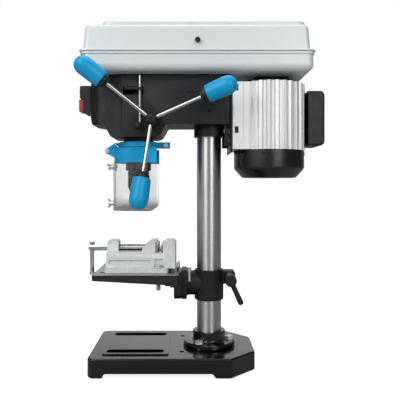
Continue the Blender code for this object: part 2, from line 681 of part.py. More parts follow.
# ---- depth stop and switch ----------------------------------------------------------------------
def make_depth_stop():
    foot, top = (STOP_ROD_X, STOP_ROD_Y, STOP_BOSS_Z), (STOP_ROD_X, STOP_ROD_Y, 533)
    rod = place("depth_stop_rod", rod_mesh(foot, top, STOP_ROD_RADIUS, sides=12), "zinc")
    boss_x = STOP_ROD_X - 4
    join(rod, rod_mesh((boss_x, -63, STOP_BOSS_Z), (boss_x, -HEAD_HALF_WIDTH - GAP, STOP_BOSS_Z), 6, turn=5))
    arm = place("depth_stop_arm", box_mesh((-154, -61.5, 506), (-121, -51, 511)), "zinc")
    cut(arm, rod_mesh((STOP_ROD_X, STOP_ROD_Y, 490), (STOP_ROD_X, STOP_ROD_Y, 520), STOP_ROD_RADIUS + GAP))
    return arm


def make_switch():
    profile = [(-220 - GAP, SWITCH_LOW), (-220 - GAP, SWITCH_HIGH), (-241, SWITCH_HIGH), (-241, 497),
               (-235, 494), (-235, SWITCH_LOW)]
    housing = place("switch_housing", plate_mesh(profile, -23, 23, "Y"), "black_plastic")
    for name, low, high, front, finish in (
        ("start_button", 500, 516, -239, "green_plastic"),
        ("stop_button", 473, 496, OVERALL_FRONT, "red_plastic"),
    ):
        cut(housing, box_mesh((-260, -16 - GAP, low - GAP), (-228, 16 + GAP, high + GAP)))
        place(name, box_mesh((front, -16, low), (-231.5, 16, high)), finish)
    return housing


# ---- chuck guard ----------------------------------------------------------------------------------
GUARD_X = -139.0  # centre of the half-round front
BAND_OUTER, BAND_INNER = 40.5, 38.0
BAND_LOW, BAND_HIGH = 377.0, 404.5
GUARD_BACK = -97.0


def u_outline(outer, inner, steps=10):
    """A wall that is half-round at the front, straight at the sides and open to the back."""
    turns = [math.radians(90 + 180 * k / steps) for k in range(steps + 1)]
    arc = [(GUARD_X + math.cos(t) * outer, math.sin(t) * outer) for t in turns]
    back = [(GUARD_X + math.cos(t) * inner, math.sin(t) * inner) for t in reversed(turns)]
    return (
        [(GUARD_BACK, outer)] + arc + [(GUARD_BACK, -outer), (GUARD_BACK, -inner)] + back
        + [(GUARD_BACK, inner)]
    )


def make_guard():
    ring = place("guard_ring", rod_mesh((SPINDLE_X, 0, 405.2), (SPINDLE_X, 0, 416), 37, sides=32),
                 "blue_plastic")
    arm = [(-164, 416), (-178, 414), (-195, 403), (-195, 394), (-186, 394), (-183, 405.2), (-164, 405.2)]
    join(ring, plate_mesh(arm, -10, 10, "Y"), box_mesh((-102, -8, 405.2), (-74, 8, 416)))
    hinge_line = ((GUARD_HINGE_X, -30, GUARD_HINGE_Z), (GUARD_HINGE_X, 30, GUARD_HINGE_Z))
    cut(
        ring,
        rod_mesh((SPINDLE_X, 0, 400), (SPINDLE_X, 0, 420), BOSS_RADIUS + GAP, sides=32),
        box_mesh((-120, -1.2, 400), (-70, 1.2, 420)),
        rod_mesh((-82, -20, 410.6), (-82, 20, 410.6), 2.8, sides=10),
        rod_mesh(*hinge_line, 2.6, sides=12),
    )
    bolt("guard_clamp_screw", (-82, -8.3, 410.6), (0, -1, 0), 4.6, 3.4, 2.4, 15, "zinc", 12)

    band = place("guard_band", plate_mesh(u_outline(BAND_OUTER, BAND_INNER), BAND_LOW, BAND_HIGH),
                 "blue_plastic")
    lug = [(-176.5, 402), (-190, 404.6), (-195.3, 399), (-190, 393.4), (-176.5, 386)]
    for y in (-15.5, 10.5):
        join(band, plate_mesh(lug, y, y + 5, "Y"))
    join(band, box_mesh((-178.2, -7, 362), (-176.4, 7, 380)))
    cut(band, rod_mesh(*hinge_line, 2.6, sides=12),
        rod_mesh((-170, 0, 370), (-185, 0, 370), 2.4, sides=10))
    pin = [(0, 19), (4.4, 19), (4.4, 16), (2.3, 16), (2.3, -17), (0, -17)]
    place("guard_hinge_pin", aimed(turned_mesh(pin, 12), hinge_line[0][:1] + (0, GUARD_HINGE_Z),
                                   (0, -1, 0)), "zinc")
    shield = place("guard_shield", plate_mesh(u_outline(42.4, 40.9, 14), 288, 376.7), "clear_plastic")
    for i, (z, spread) in enumerate(((370, 60), (301, 0))):
        cut(shield, rod_mesh((-170, 0, z), (-190, 0, z), 2.4, sides=10))
        screw = [(0, 8.5), (3.8, 8.5), (4.6, 0), (2.1, 0), (2.1, -8), (0, -8)]
        wing = place(f"wing_screw_{i + 1}", aimed(turned_mesh(screw, 12), (-182, 0, z), (-1, 0, 0)), "zinc")
        blade = [(-184, -3.5), (-184, 3.5), (-190, 9.5), (-193.5, 9.0), (-189, 0), (-193.5, -9.0),
                 (-190, -9.5)]
        fin = moved(plate_mesh(blade, -1.1, 1.1, "Y"), Matrix.Rotation(math.radians(spread), 4, "X"))
        join(wing, shift(fin, 0, 0, z))
    return ring


# ---- belt cover, pulleys and belt -------------------------------------------------------------------
TRAY_FLOOR = HEAD_TOP + GAP
STEP_HEIGHT, STEP_LOW = 11.4, 549.0
STEP_RADII = (32.0, 38.0, 44.0, 50.0, 56.0)
BELT_HALF = 4.0
GROOVE_DEPTH = 5.0
PULLEY_WALL = 11.0  # from a step's rim to the hollow inside it
BELT_SLACK = 4.0  # how far the motor moves back to tighten the belt
SHEET = 1.8  # thickness of the cover's steel
KNUCKLE_RADIUS = 3.4
TRAY_KNUCKLES, LID_KNUCKLES = (-150, 90), (-127, 66)
LOCK_SCREW_X, LOCK_SCREW_Z = -22.5, 590.0


def drafted_mesh(low, high, inset):
    """A box whose top is smaller than its bottom by inset all round."""
    mesh = box_mesh(low, high)
    centre = [(low[i] + high[i]) / 2 for i in range(2)]
    for vert in mesh.vertices:
        if vert.co.z > (low[2] + high[2]) / 2 * MM:
            for i in range(2):
                vert.co[i] -= math.copysign(inset * MM, vert.co[i] - centre[i] * MM)
    return mesh


def softened(mesh, width, segments=3):
    """The same mesh with its sharp edges rounded."""
    holder = bpy.data.objects.new("soft", mesh)
    bpy.context.scene.collection.objects.link(holder)
    bevel = holder.modifiers.new("round", "BEVEL")
    bevel.width = width * MM
    bevel.segments = segments
    bevel.limit_method = "ANGLE"
    bevel.angle_limit = math.radians(40)
    return baked(holder)


def shell_mesh(low, high, inset, width, segments=3):
    """A drafted box with rounded edges, for the outside or the inside of a cover."""
    return softened(drafted_mesh(low, high, inset), width, segments)


def make_tray():
    front, back, side = COVER_FRONT + 2.4, COVER_BACK - 2.4, COVER_HALF_WIDTH - 2.4
    outside = shell_mesh((front, -side, TRAY_FLOOR), (back, side, 592), -2.5, 13)
    tray = place("belt_tray", outside, "grey_paint")
    rim = rounded(rectangle(COVER_FRONT, COVER_BACK, -COVER_HALF_WIDTH, COVER_HALF_WIDTH, 14), 3)
    cut(tray, box_mesh((-300, -120, SEAM - 3), (300, 120, 600)))
    join(tray, plate_mesh(rim, SEAM - 3.4, SEAM - GAP))
    inside = shell_mesh((front + SHEET, -side + SHEET, TRAY_FLOOR + SHEET), (back - SHEET, side - SHEET, 592),
                        -2.5, 12, 2)
    cut(
        tray,
        inside,
        rod_mesh((SPINDLE_X, 0, 500), (SPINDLE_X, 0, 560), 27, sides=28),
        box_mesh((MOTOR_X - 30, -26, 500), (MOTOR_X + 36, 26, 560)),
    )
    for x in TRAY_KNUCKLES:
        join(
            tray,
            box_mesh((x, COVER_HALF_WIDTH - 3, SEAM - 6), (x + 22, LID_HINGE_Y + 1, SEAM - 1.5)),
            rod_mesh((x, LID_HINGE_Y, LID_HINGE_Z), (x + 22, LID_HINGE_Y, LID_HINGE_Z),
                     KNUCKLE_RADIUS, sides=12),
        )
    return tray


def make_lid():
    front, back, side = -225.5, 177.5, 79.5
    lid = place("cover_lid", shell_mesh((front, -side, SEAM - 14), (back, side, 620), 4, 9), "grey_paint")
    rim = rounded(rectangle(COVER_FRONT, COVER_BACK, -COVER_HALF_WIDTH, COVER_HALF_WIDTH, 14), 3)
    panel = rounded(rectangle(-193, 170, -69, 69, 16), 3)
    cut(lid, box_mesh((-300, -120, 500), (300, 120, SEAM + 1)))
    join(lid, plate_mesh(rim, SEAM, SEAM + 3), plate_mesh(panel, 612, OVERALL_HEIGHT))
    inside = shell_mesh((front + SHEET, -side + SHEET, SEAM - 16), (back - SHEET, side - SHEET, 620 - SHEET),
                        4, 8, 2)
    under_panel = rounded(rectangle(-191, 168, -67, 67, 14), 2)
    cut(lid, inside, plate_mesh(under_panel, 600, OVERALL_HEIGHT - SHEET))
    for x in LID_KNUCKLES:
        join(
            lid,
            box_mesh((x, COVER_HALF_WIDTH - 3, SEAM + 0.5), (x + 23.4, LID_HINGE_Y + 1, SEAM + 2.5)),
            rod_mesh((x, LID_HINGE_Y, LID_HINGE_Z), (x + 23.4, LID_HINGE_Y, LID_HINGE_Z),
                     KNUCKLE_RADIUS, sides=12),
        )
    cut(lid, rod_mesh((LOCK_SCREW_X, -90, LOCK_SCREW_Z), (LOCK_SCREW_X, -60, LOCK_SCREW_Z), 3.4, sides=12))
    lock = turned_mesh([(0, 3), (4.6, 3), (4.6, 0), (3, 0), (3, -8), (0, -8)], 12)
    place("lid_lock_screw", aimed(lock, (LOCK_SCREW_X, -79.2, LOCK_SCREW_Z), (0, -1, 0)), "black_plastic")
    return lid


def pulley_profile(radii, neck, bore, low):
    """A five-step cone pulley, from top to bottom, with a groove in the step that the belt runs on.
    It is hollow from its wide end, down to a web at its narrow one."""
    top = STEP_LOW + len(radii) * STEP_HEIGHT
    wide_below = radii[0] > radii[-1]
    profile = []
    for i in reversed(range(len(radii))):
        bottom = STEP_LOW + i * STEP_HEIGHT
        profile.append((radii[i], bottom + STEP_HEIGHT))
        if i == len(radii) // 2:
            root, middle = radii[i] - GROOVE_DEPTH, bottom + STEP_HEIGHT / 2
            profile += [(radii[i], middle + 4.3), (root, middle + 4.3), (root, middle - 4.3),
                        (radii[i], middle - 4.3)]
        profile.append((radii[i], bottom))
    hollow = []
    for i in range(len(radii) - 1) if wide_below else range(1, len(radii)):
        bottom = STEP_LOW + i * STEP_HEIGHT
        hollow += [(radii[i] - PULLEY_WALL, bottom), (radii[i] - PULLEY_WALL, bottom + STEP_HEIGHT)]
    if wide_below:
        return profile + hollow + [(neck, hollow[-1][1]), (neck, low), (bore, low), (bore, top)]
    ends = [(neck, STEP_LOW), (neck, low), (bore, low), (bore, top), (neck, top), (neck, hollow[0][1])]
    return profile + ends + hollow


def make_drive():
    spindle_side = pulley_profile(STEP_RADII, 13.5, 8.4, 526)
    place("spindle_pulley", turned_at(SPINDLE_X, 0, spindle_side, 18, True), "aluminium")
    motor_side = pulley_profile(STEP_RADII[::-1], 13.5, 7.3, 543)
    place("motor_pulley", turned_at(MOTOR_X, 0, motor_side, 18, True), "aluminium")
    place("pulley_bearing", ring_at(SPINDLE_X, 0, 26, 14, BEARING_LOW + GAP, HEAD_TOP - 0.2, 28),
          "ground_steel")
    middle = STEP_LOW + 2.5 * STEP_HEIGHT
    loops = []
    for radius in (STEP_RADII[2] - 0.5, STEP_RADII[2] - GROOVE_DEPTH + 0.4):
        front = [(SPINDLE_X + radius * math.cos(t), radius * math.sin(t))
                 for t in (math.radians(90 + 15 * k) for k in range(13))]
        back = [(MOTOR_X + BELT_SLACK + radius * math.cos(t), radius * math.sin(t))
                for t in (math.radians(-90 + 15 * k) for k in range(13))]
        loops.append(front + back)
    belt = place("v_belt", plate_mesh(loops[0], middle - BELT_HALF, middle + BELT_HALF), "rubber")
    return cut(belt, plate_mesh(loops[1], middle - 10, middle + 10))


# ---- motor --------------------------------------------------------------------------------------------
MOTOR_LOW, MOTOR_HIGH = 400.0, 523.0
PLATE_FRONT, PLATE_BACK = 37.4, 40.4
FINS, FIN_DEPTH = 28, 4.0
HOUSING_BORE, HOUSING_CROWN = 58.4, 515.0
POCKET_HEIGHTS = (435.5, 512.0)  # square pockets in the housing's flat sides
VENTS, VENT_CIRCLE = 8, 32.0


def make_motor():
    outline = []
    for i in range(FINS):
        for radius, turn in ((MOTOR_RADIUS, 0.0), (MOTOR_RADIUS, 0.45), (MOTOR_RADIUS - FIN_DEPTH, 0.62),
                             (MOTOR_RADIUS - FIN_DEPTH, 0.83)):
            angle = 2 * math.pi * (i + turn + 0.13) / FINS
            outline.append((MOTOR_X + radius * math.cos(angle), radius * math.sin(angle)))
    housing = place("motor_housing", plate_mesh(outline, MOTOR_LOW, MOTOR_HIGH), "aluminium")
    join(
        housing,
        box_mesh((PLATE_BACK + GAP, -52, MOTOR_LOW + 0.5), (74, 52, MOTOR_HIGH - 0.5)),
        turned_at(MOTOR_X, 0, [(0, 535), (22.5, 535), (24, 533.5), (24, 517), (0, 517)], 24),
    )
    cut(
        housing,
        rod_mesh((MOTOR_X, 0, 390), (MOTOR_X, 0, HOUSING_CROWN), HOUSING_BORE, sides=30, turn=2),
        rod_mesh((MOTOR_X, 0, 505), (MOTOR_X, 0, 560), 12, sides=16),
    )
    for z in POCKET_HEIGHTS:
        cut(housing, box_mesh((44.5, -60, z - 6), (51.5, -44, z + 6)))

    cover = [
        (66, MOTOR_LOW - GAP), (66, 366), (48, 349), (12, 349), (12, 352), (46, 352), (63.4, 367.5),
        (63.4, MOTOR_LOW - GAP),
    ]
    fan_cover = place("fan_cover", turned_at(MOTOR_X, 0, cover, 24, True), "black_plastic")
    for x, y in around(MOTOR_X, 0, VENT_CIRCLE, VENTS):
        turn = Matrix.Rotation(math.atan2(y, x - MOTOR_X), 4, "Z")
        slot = moved(box_mesh((-11, -3, 340), (11, 3, 360)), Matrix.Translation((x * MM, y * MM, 0)) @ turn)
        cut(fan_cover, slot)
    place("motor_stator", ring_at(MOTOR_X, 0, 57.4, 36, 437, 485, 24), "dark_steel")
    rotor = place("motor_rotor", turned_at(MOTOR_X, 0, [
        (0, 604), (7, 604), (7, 484), (35, 484), (35, 438), (7, 438), (7, 388), (20, 388), (20, 372),
        (0, 372),
    ], 24), "ground_steel")
    for degrees in (0, 60, 120):
        turn = Matrix.Translation((MOTOR_X * MM, 0, 0)) @ Matrix.Rotation(math.radians(degrees), 4, "Z")
        join(rotor, moved(box_mesh((-58, -1.2, 374), (58, 1.2, 390)), turn))

    side = rounded([(181.2, 408, 6), (OVERALL_BACK, 408, 8), (OVERALL_BACK, 509, 8), (181.2, 509, 6)], 3)
    box = place("capacitor_box", plate_mesh(side, -36, 36, "Y"), "black_plastic")
    cut(box, box_mesh((176, -33, 412), (208, 33, 505)))

    plate = place("motor_plate", box_mesh((PLATE_FRONT, -50, 395), (PLATE_BACK, 50, 522)), "dark_steel")
    for y in (-SLIDE_ROD_Y, SLIDE_ROD_Y):
        join(plate, rod_mesh((-20, y, SLIDE_ROD_Z), (39, y, SLIDE_ROD_Z), SLIDE_ROD_RADIUS, sides=16))
        join(plate, box_mesh((27, y - 7, 408), (39, y + 7, 438)))
    return housing


def main():
    clear_scene()
    make_base()
    make_flange()
    make_column()
    make_bracket()
    make_lock()
    make_table()
    make_tilt_bolt()
    make_vise()
    make_moving_jaw()
    make_vise_screw()
    make_head()
    make_quill()
    make_spindle()
    make_chuck()
    make_feed()
    make_return_spring()
    make_depth_stop()
    make_switch()
    make_guard()
    make_tray()
    make_lid()
    make_drive()
    make_motor()
    root = bpy.data.objects.new("drill_press_frame", None)
    collection("drill_press").objects.link(root)
    middle = ((OVERALL_FRONT + OVERALL_BACK) / 2, (OVERALL_RIGHT + OVERALL_LEFT) / 2)
    root.location = (-middle[0] * MM, -middle[1] * MM, 0)
    for part in list(collection("drill_press").objects) + list(collection("cutters").objects):
        if part != root:
            part.parent = root


main()
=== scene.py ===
"""The looks of a bench drill press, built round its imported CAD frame.

Lengths in this file are machine millimetres: X = 0, Y = 0 is the column's axis, +X is the back, -Y the
operator's right and Z = 0 the floor. ORIGIN moves them into the row frame.
"""

import json
import math

import bmesh
import bpy
from mathutils import Matrix, Vector


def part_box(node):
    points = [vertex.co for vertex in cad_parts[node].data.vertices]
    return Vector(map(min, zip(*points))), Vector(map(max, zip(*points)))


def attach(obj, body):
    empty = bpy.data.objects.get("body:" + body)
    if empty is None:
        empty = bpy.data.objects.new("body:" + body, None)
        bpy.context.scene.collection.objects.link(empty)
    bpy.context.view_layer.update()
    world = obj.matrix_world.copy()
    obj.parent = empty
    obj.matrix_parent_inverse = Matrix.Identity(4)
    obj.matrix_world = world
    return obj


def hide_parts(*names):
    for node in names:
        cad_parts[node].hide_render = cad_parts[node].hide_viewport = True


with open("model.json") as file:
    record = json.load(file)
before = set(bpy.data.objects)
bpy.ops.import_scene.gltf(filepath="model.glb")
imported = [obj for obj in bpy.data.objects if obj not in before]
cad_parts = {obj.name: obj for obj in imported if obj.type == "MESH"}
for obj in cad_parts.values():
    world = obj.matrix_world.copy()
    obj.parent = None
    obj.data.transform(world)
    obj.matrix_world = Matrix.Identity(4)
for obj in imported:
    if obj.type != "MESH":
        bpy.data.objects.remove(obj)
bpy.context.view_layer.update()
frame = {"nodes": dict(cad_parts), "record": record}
MM = 0.001
column_low, column_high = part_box("column")
ORIGIN = Vector(((column_low.x + column_high.x) / 2, (column_low.y + column_high.y) / 2, 0))
SPINDLE_X, MOTOR_X = -134, 113.5  # the two belt axes
FEED_X, FEED_Z = -103.5, 451  # the feed shaft's axis
SCREW_Z = 217.5  # the vise screw's axis
BOLT_CIRCLE = 38.5  # of the column flange
COVER_FRONT, COVER_BACK, COVER_SIDE = -231.4, 185.5, 85
SEAM = 570  # where the lid meets the tray
HINGE_Y, HINGE_Z = 88.9, 571  # the lid's hinge
PULLEY_RADII, PULLEY_LOW, STEP = (32, 38, 44, 50, 56), 549, 11.4
BELT_BACK_X = 117.5  # where the tightened belt turns round the motor
SLIDE_SIDES, SLIDE_Z = (-38, 38), 500  # the rods that the motor slides on
GUARD_X = -139  # the middle of the guard's curved front
PIVOT_X, PIVOT_Z = -190, 399  # the pin that the guard swings on
WING_HEIGHTS = (370, 301)
LOCK_X, LOCK_Z = 38, 162  # the table's clamp lever
TILT_Z = 150.5  # the table's tilt bolt
VISE_BOLT_X, VISE_BOLT_Y = -93, 49
BODY_OF = {node: body for body, nodes in frame["record"]["behaviour"]["bodies"].items() for node in nodes}
UP, RIGHT, LEFT, FRONT, BACK = (0, 0, 1), (0, -1, 0), (0, 1, 0), (-1, 0, 0), (1, 0, 0)


# ---- meshes ----
def raw(points, faces):
    """A mesh from points in millimetres."""
    mesh = bpy.data.meshes.new("part")
    mesh.from_pydata([Vector(p) * MM for p in points], [], faces)
    return mesh


def moved(mesh, matrix):
    mesh.transform(matrix)
    return mesh


def shift(mesh, x=0.0, y=0.0, z=0.0):
    return moved(mesh, Matrix.Translation(Vector((x, y, z)) * MM))


def spun(mesh, degrees, axis="Z", about=(0, 0, 0)):
    """The mesh turned about an axis through a point."""
    at = Vector(about) * MM
    turn = Matrix.Rotation(math.radians(degrees), 4, axis)
    return moved(mesh, Matrix.Translation(at) @ turn @ Matrix.Translation(-at))


def aimed(mesh, at, direction):
    """A mesh made along Z, moved so that Z points along direction and its origin is at a point."""
    aim = Vector(direction).to_track_quat("Z", "Y").to_matrix().to_4x4()
    return moved(mesh, Matrix.Translation(Vector(at) * MM) @ aim)


def box(low, high):
    x, y, z = zip(low, high)
    points = [(x[i], y[j], z[k]) for i in (0, 1) for j in (0, 1) for k in (0, 1)]
    return raw(points, [(0, 1, 3, 2), (4, 6, 7, 5), (0, 4, 5, 1), (2, 3, 7, 6), (0, 2, 6, 4), (1, 5, 7, 3)])


def rod(start, end, radius, end_radius=None, sides=48):
    start, end = Vector(start), Vector(end)
    last = radius if end_radius is None else end_radius
    return aimed(lathe([(0, (end - start).length), (last, (end - start).length), (radius, 0), (0, 0)],
            sides), start, end - start)


def circle(radius, z, steps):
    turns = [2 * math.pi * k / steps for k in range(steps)]
    return [(radius * math.cos(turn), radius * math.sin(turn), z) for turn in turns]


def skin(rings, closed=False):
    """Faces between rings of points, where a ring may be one point; closed joins last to first."""
    steps, points, rows = max(len(ring) for ring in rings), [], []
    for ring in rings:
        rows.append([len(points) + k % len(ring) for k in range(steps)])
        points += ring
    faces = []
    for i in range(len(rows) if closed else len(rows) - 1):
        upper, lower = rows[i], rows[(i + 1) % len(rows)]
        for k in range(steps):
            n = (k + 1) % steps
            ring = [upper[k], lower[k], lower[n], upper[n]]
            face = [v for j, v in enumerate(ring) if v != ring[j - 1]]
            if len(face) > 2:
                faces.append(face)
    return raw(points, faces)


def lathe(profile, steps=64, closed=False):
    """Turned about Z from (radius, z) points that run down its outer side; closed joins last to first."""
    return skin([circle(radius, z, steps if radius > 1e-6 else 1) for radius, z in profile], closed)


def tube(outer, inner, low, high, steps=64, edge=0.0):
    profile = [(outer, high), (outer, low), (inner, low), (inner, high)]
    if edge:
        profile = [(outer - edge, high), (outer, high - edge), (outer, low + edge), (outer - edge, low),
                (inner + edge, low), (inner, low + edge), (inner, high - edge), (inner + edge, high)]
    return lathe(profile, steps, True)


def post(x, y, low, high, radius, sides=48):
    """An upright rod."""
    return rod((x, y, low), (x, y, high), radius, sides=sides)


def axle(x, z, low, high, radius, sides=48):
    """A rod along Y."""
    return rod((x, low, z), (x, high, z), radius, sides=sides)


def along_x(y, z, low, high, radius, sides=48):
    """A rod along X."""
    return rod((low, y, z), (high, y, z), radius, sides=sides)


def rounded(corners, steps=8):
    """An outline whose (x, y, radius) corners are rounded."""
    points = []
    for i, corner in enumerate(corners):
        here, radius = Vector(corner[:2]), corner[2] if len(corner) > 2 else 0
        if not radius:
            points.append(here)
            continue
        back = (Vector(corners[i - 1][:2]) - here).normalized()
        ahead = (Vector(corners[(i + 1) % len(corners)][:2]) - here).normalized()
        half = back.angle(ahead) / 2
        centre = here + (back + ahead).normalized() * (radius / math.sin(half))
        first = here + back * (radius / math.tan(half))
        side = 1 if back.cross(ahead) < 0 else -1
        for k in range(steps + 1):
            swung = Matrix.Rotation(side * (math.pi - 2 * half) * k / steps, 2) @ (first - centre)
            points.append(centre + swung)
    return points


def rectangle(x_low, x_high, y_low, y_high, radius=0.0):
    return [(x, y, radius) for x, y in ((x_low, y_low), (x_high, y_low), (x_high, y_high), (x_low, y_high))]


def plate(outline, low, high, along="Z"):
    """An outline given thickness. Along Y its points are (x, z), along X they are (y, z)."""
    lay = {"Z": lambda p, h: (p[0], p[1], h), "Y": lambda p, h: (p[0], h, p[1]), "X": lambda p,
            h: (h, p[0], p[1])}[along]
    area = sum(a[0] * b[1] - b[0] * a[1] for a, b in zip(outline, list(outline[1:]) + [outline[0]]))
    outline = list(outline) if (area > 0) == (along != "Y") else list(outline)[::-1]
    n = len(outline)
    points = [lay(p, low) for p in outline] + [lay(p, high) for p in outline]
    faces = [tuple(range(n))[::-1], tuple(range(n, 2 * n))]
    faces += [(i, (i + 1) % n, n + (i + 1) % n, n + i) for i in range(n)]
    return raw(points, faces)


def slab(x_low, x_high, y_low, y_high, radius, steps, low, high, along="Z"):
    """A plate with four rounded corners."""
    return plate(rounded(rectangle(x_low, x_high, y_low, y_high, radius), steps), low, high, along)


def held(mesh):
    holder = bpy.data.objects.new("holder", mesh)
    bpy.context.scene.collection.objects.link(holder)
    return holder


def baked(holder):
    bpy.context.view_layer.update()
    mesh = bpy.data.meshes.new_from_object(holder.evaluated_get(bpy.context.evaluated_depsgraph_get()))
    bpy.data.objects.remove(holder)
    return mesh


def solid(mesh, cuts=(), joins=(), bevel=0.0, segments=2, angle=35):
    """A mesh with others joined to it, others cut from it and its sharp edges rounded."""
    holder, others = held(mesh), []
    for operation, group in (("UNION", joins), ("DIFFERENCE", cuts)):
        for other in group:
            others.append(held(other))
            step = holder.modifiers.new(operation, "BOOLEAN")
            step.operation, step.solver, step.object = operation, "EXACT", others[-1]
    if others:
        weld = holder.modifiers.new("weld", "WELD")
        weld.merge_threshold = 0.000005
    if bevel:
        step = holder.modifiers.new("bevel", "BEVEL")
        step.width, step.segments = bevel * MM, segments
        step.limit_method, step.angle_limit = "ANGLE", math.radians(angle)
        step.use_clamp_overlap = True
    result = baked(holder)
    for other in others:
        bpy.data.objects.remove(other)
    return result


def merged(*meshes):
    """Several meshes as one, without cutting them together."""
    cage = bmesh.new()
    for mesh in meshes:
        cage.from_mesh(mesh)
    joined = bpy.data.meshes.new("part")
    cage.to_mesh(joined)
    cage.free()
    return joined


def smooth(mesh, angle=38):
    """Smooth shading up to that angle, with normals weighted so that flat faces stay flat."""
    mesh.polygons.foreach_set("use_smooth", [True] * len(mesh.polygons))
    mesh.set_sharp_from_angle(angle=math.radians(angle))
    holder = held(mesh)
    weigh = holder.modifiers.new("weigh", "WEIGHTED_NORMAL")
    weigh.keep_sharp, weigh.weight = True, 80
    return baked(holder)


def piece(name, mesh, finish, stands_for=(), body=None, angle=38):
    """One shown piece. It takes the place of CAD nodes, or rides on a body beside them."""
    stands_for = [stands_for] if isinstance(stands_for, str) else list(stands_for)
    mesh = smooth(moved(mesh, Matrix.Translation(ORIGIN)), angle)
    mesh.name = name
    mesh.materials.clear()
    mesh.materials.append(MATERIALS[finish])
    made = bpy.data.objects.new(name, mesh)
    bpy.context.scene.collection.objects.link(made)
    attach(made, body or BODY_OF[stands_for[0]])
    if stands_for:
        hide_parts(*stands_for)
    return made


def around(x, y, radius, count, first=0.0):
    for i in range(count):
        angle = math.radians(first + 360.0 * i / count)
        yield x + radius * math.cos(angle), y + radius * math.sin(angle)


def hexagon(across, low, high, chamfer=0.7):
    """A hexagon nut or head about Z, with its top corners turned off."""
    outline = [(across / math.sqrt(3) * math.cos(math.radians(60 * k)),
            across / math.sqrt(3) * math.sin(math.radians(60 * k))) for k in range(6)]
    body = held(plate(outline, low, high))
    reach = across / math.sqrt(3)
    cone = held(lathe([(0, high), (reach - chamfer * 1.7, high), (reach + 2, high - chamfer - 1.6),
            (reach + 2, low - 1), (0, low - 1)], 48))
    step = body.modifiers.new("turn", "BOOLEAN")
    step.operation, step.solver, step.object = "INTERSECT", "EXACT", cone
    result = baked(body)
    bpy.data.objects.remove(cone)
    return result


def thread(radius, depth, pitch, low, high, steps=28, rows=8):
    """A real helical thread about Z, closed by flat ends."""
    count = max(2, int((high - low) / pitch * rows))
    rings = [[(0, 0, high)]]
    for i in range(count + 1):
        z = high - (high - low) * i / count
        ring = []
        for k in range(steps):
            phase = (z / pitch - k / steps) % 1.0
            r = radius - depth * abs(2 * phase - 1)
            turn = 2 * math.pi * k / steps
            ring.append((r * math.cos(turn), r * math.sin(turn), z))
        rings.append(ring)
    return skin(rings + [[(0, 0, low)]])


def swept(path, radius, sides=16):
    """A round bar along points, with its ends closed."""
    points, faces, path = [], [], [Vector(p) for p in path]
    normal = None
    for i, at in enumerate(path):
        run = (path[min(i + 1, len(path) - 1)] - path[max(i - 1, 0)]).normalized()
        if normal is None:
            normal = run.orthogonal().normalized()
        normal = (normal - run * normal.dot(run)).normalized()
        side = run.cross(normal)
        r = radius[i] if isinstance(radius, (list, tuple)) else radius
        for k in range(sides):
            turn = 2 * math.pi * k / sides
            points.append(at + normal * (r * math.cos(turn)) + side * (r * math.sin(turn)))
    for i in range(len(path) - 1):
        for k in range(sides):
            n = (k + 1) % sides
            faces.append((i * sides + k, i * sides + n, (i + 1) * sides + n, (i + 1) * sides + k))
    faces.append(tuple(range(sides))[::-1])
    faces.append(tuple(range((len(path) - 1) * sides, len(path) * sides)))
    return raw(points, faces)


def screws(name, places, outward, radius, height, finish="black_oxide", body="head"):
    """A numbered row of small screws that all face one way."""
    for i, at in enumerate(places):
        piece(f"{name}_{i + 1}", cap_screw(at, outward, radius, height), finish, body=body)


def cap_screw(at, outward, radius=3.0, height=2.0):
    """A small dished screw head with a cross recess."""
    head = lathe([(0, height), (radius * 0.55, height * 0.97), (radius * 0.85, height * 0.72),
            (radius, height * 0.25), (radius, -0.6), (0, -0.6)], 32)
    cuts = [box((-a, -b, height * 0.45), (a, b, height + 1)) for a,
            b in ((radius * 0.62, radius * 0.14), (radius * 0.14, radius * 0.62))]
    return aimed(solid(head, cuts, bevel=0.08), at, outward)


# ---- materials ----
MATERIALS = {}
FLOOR_GLOW, WORLD_STRENGTH = 0.86, 0.85


def add_node(tree, kind, **inputs):
    """A shader node whose inputs, by name or as _number, are linked or set."""
    made = tree.nodes.new("ShaderNode" + kind)
    for key, value in inputs.items():
        socket = made.inputs[int(key[1:])] if key[0] == "_" else made.inputs[key.replace("_", " ")]
        if isinstance(value, bpy.types.NodeSocket):
            tree.links.new(value, socket)
        else:
            socket.default_value = value
    return made


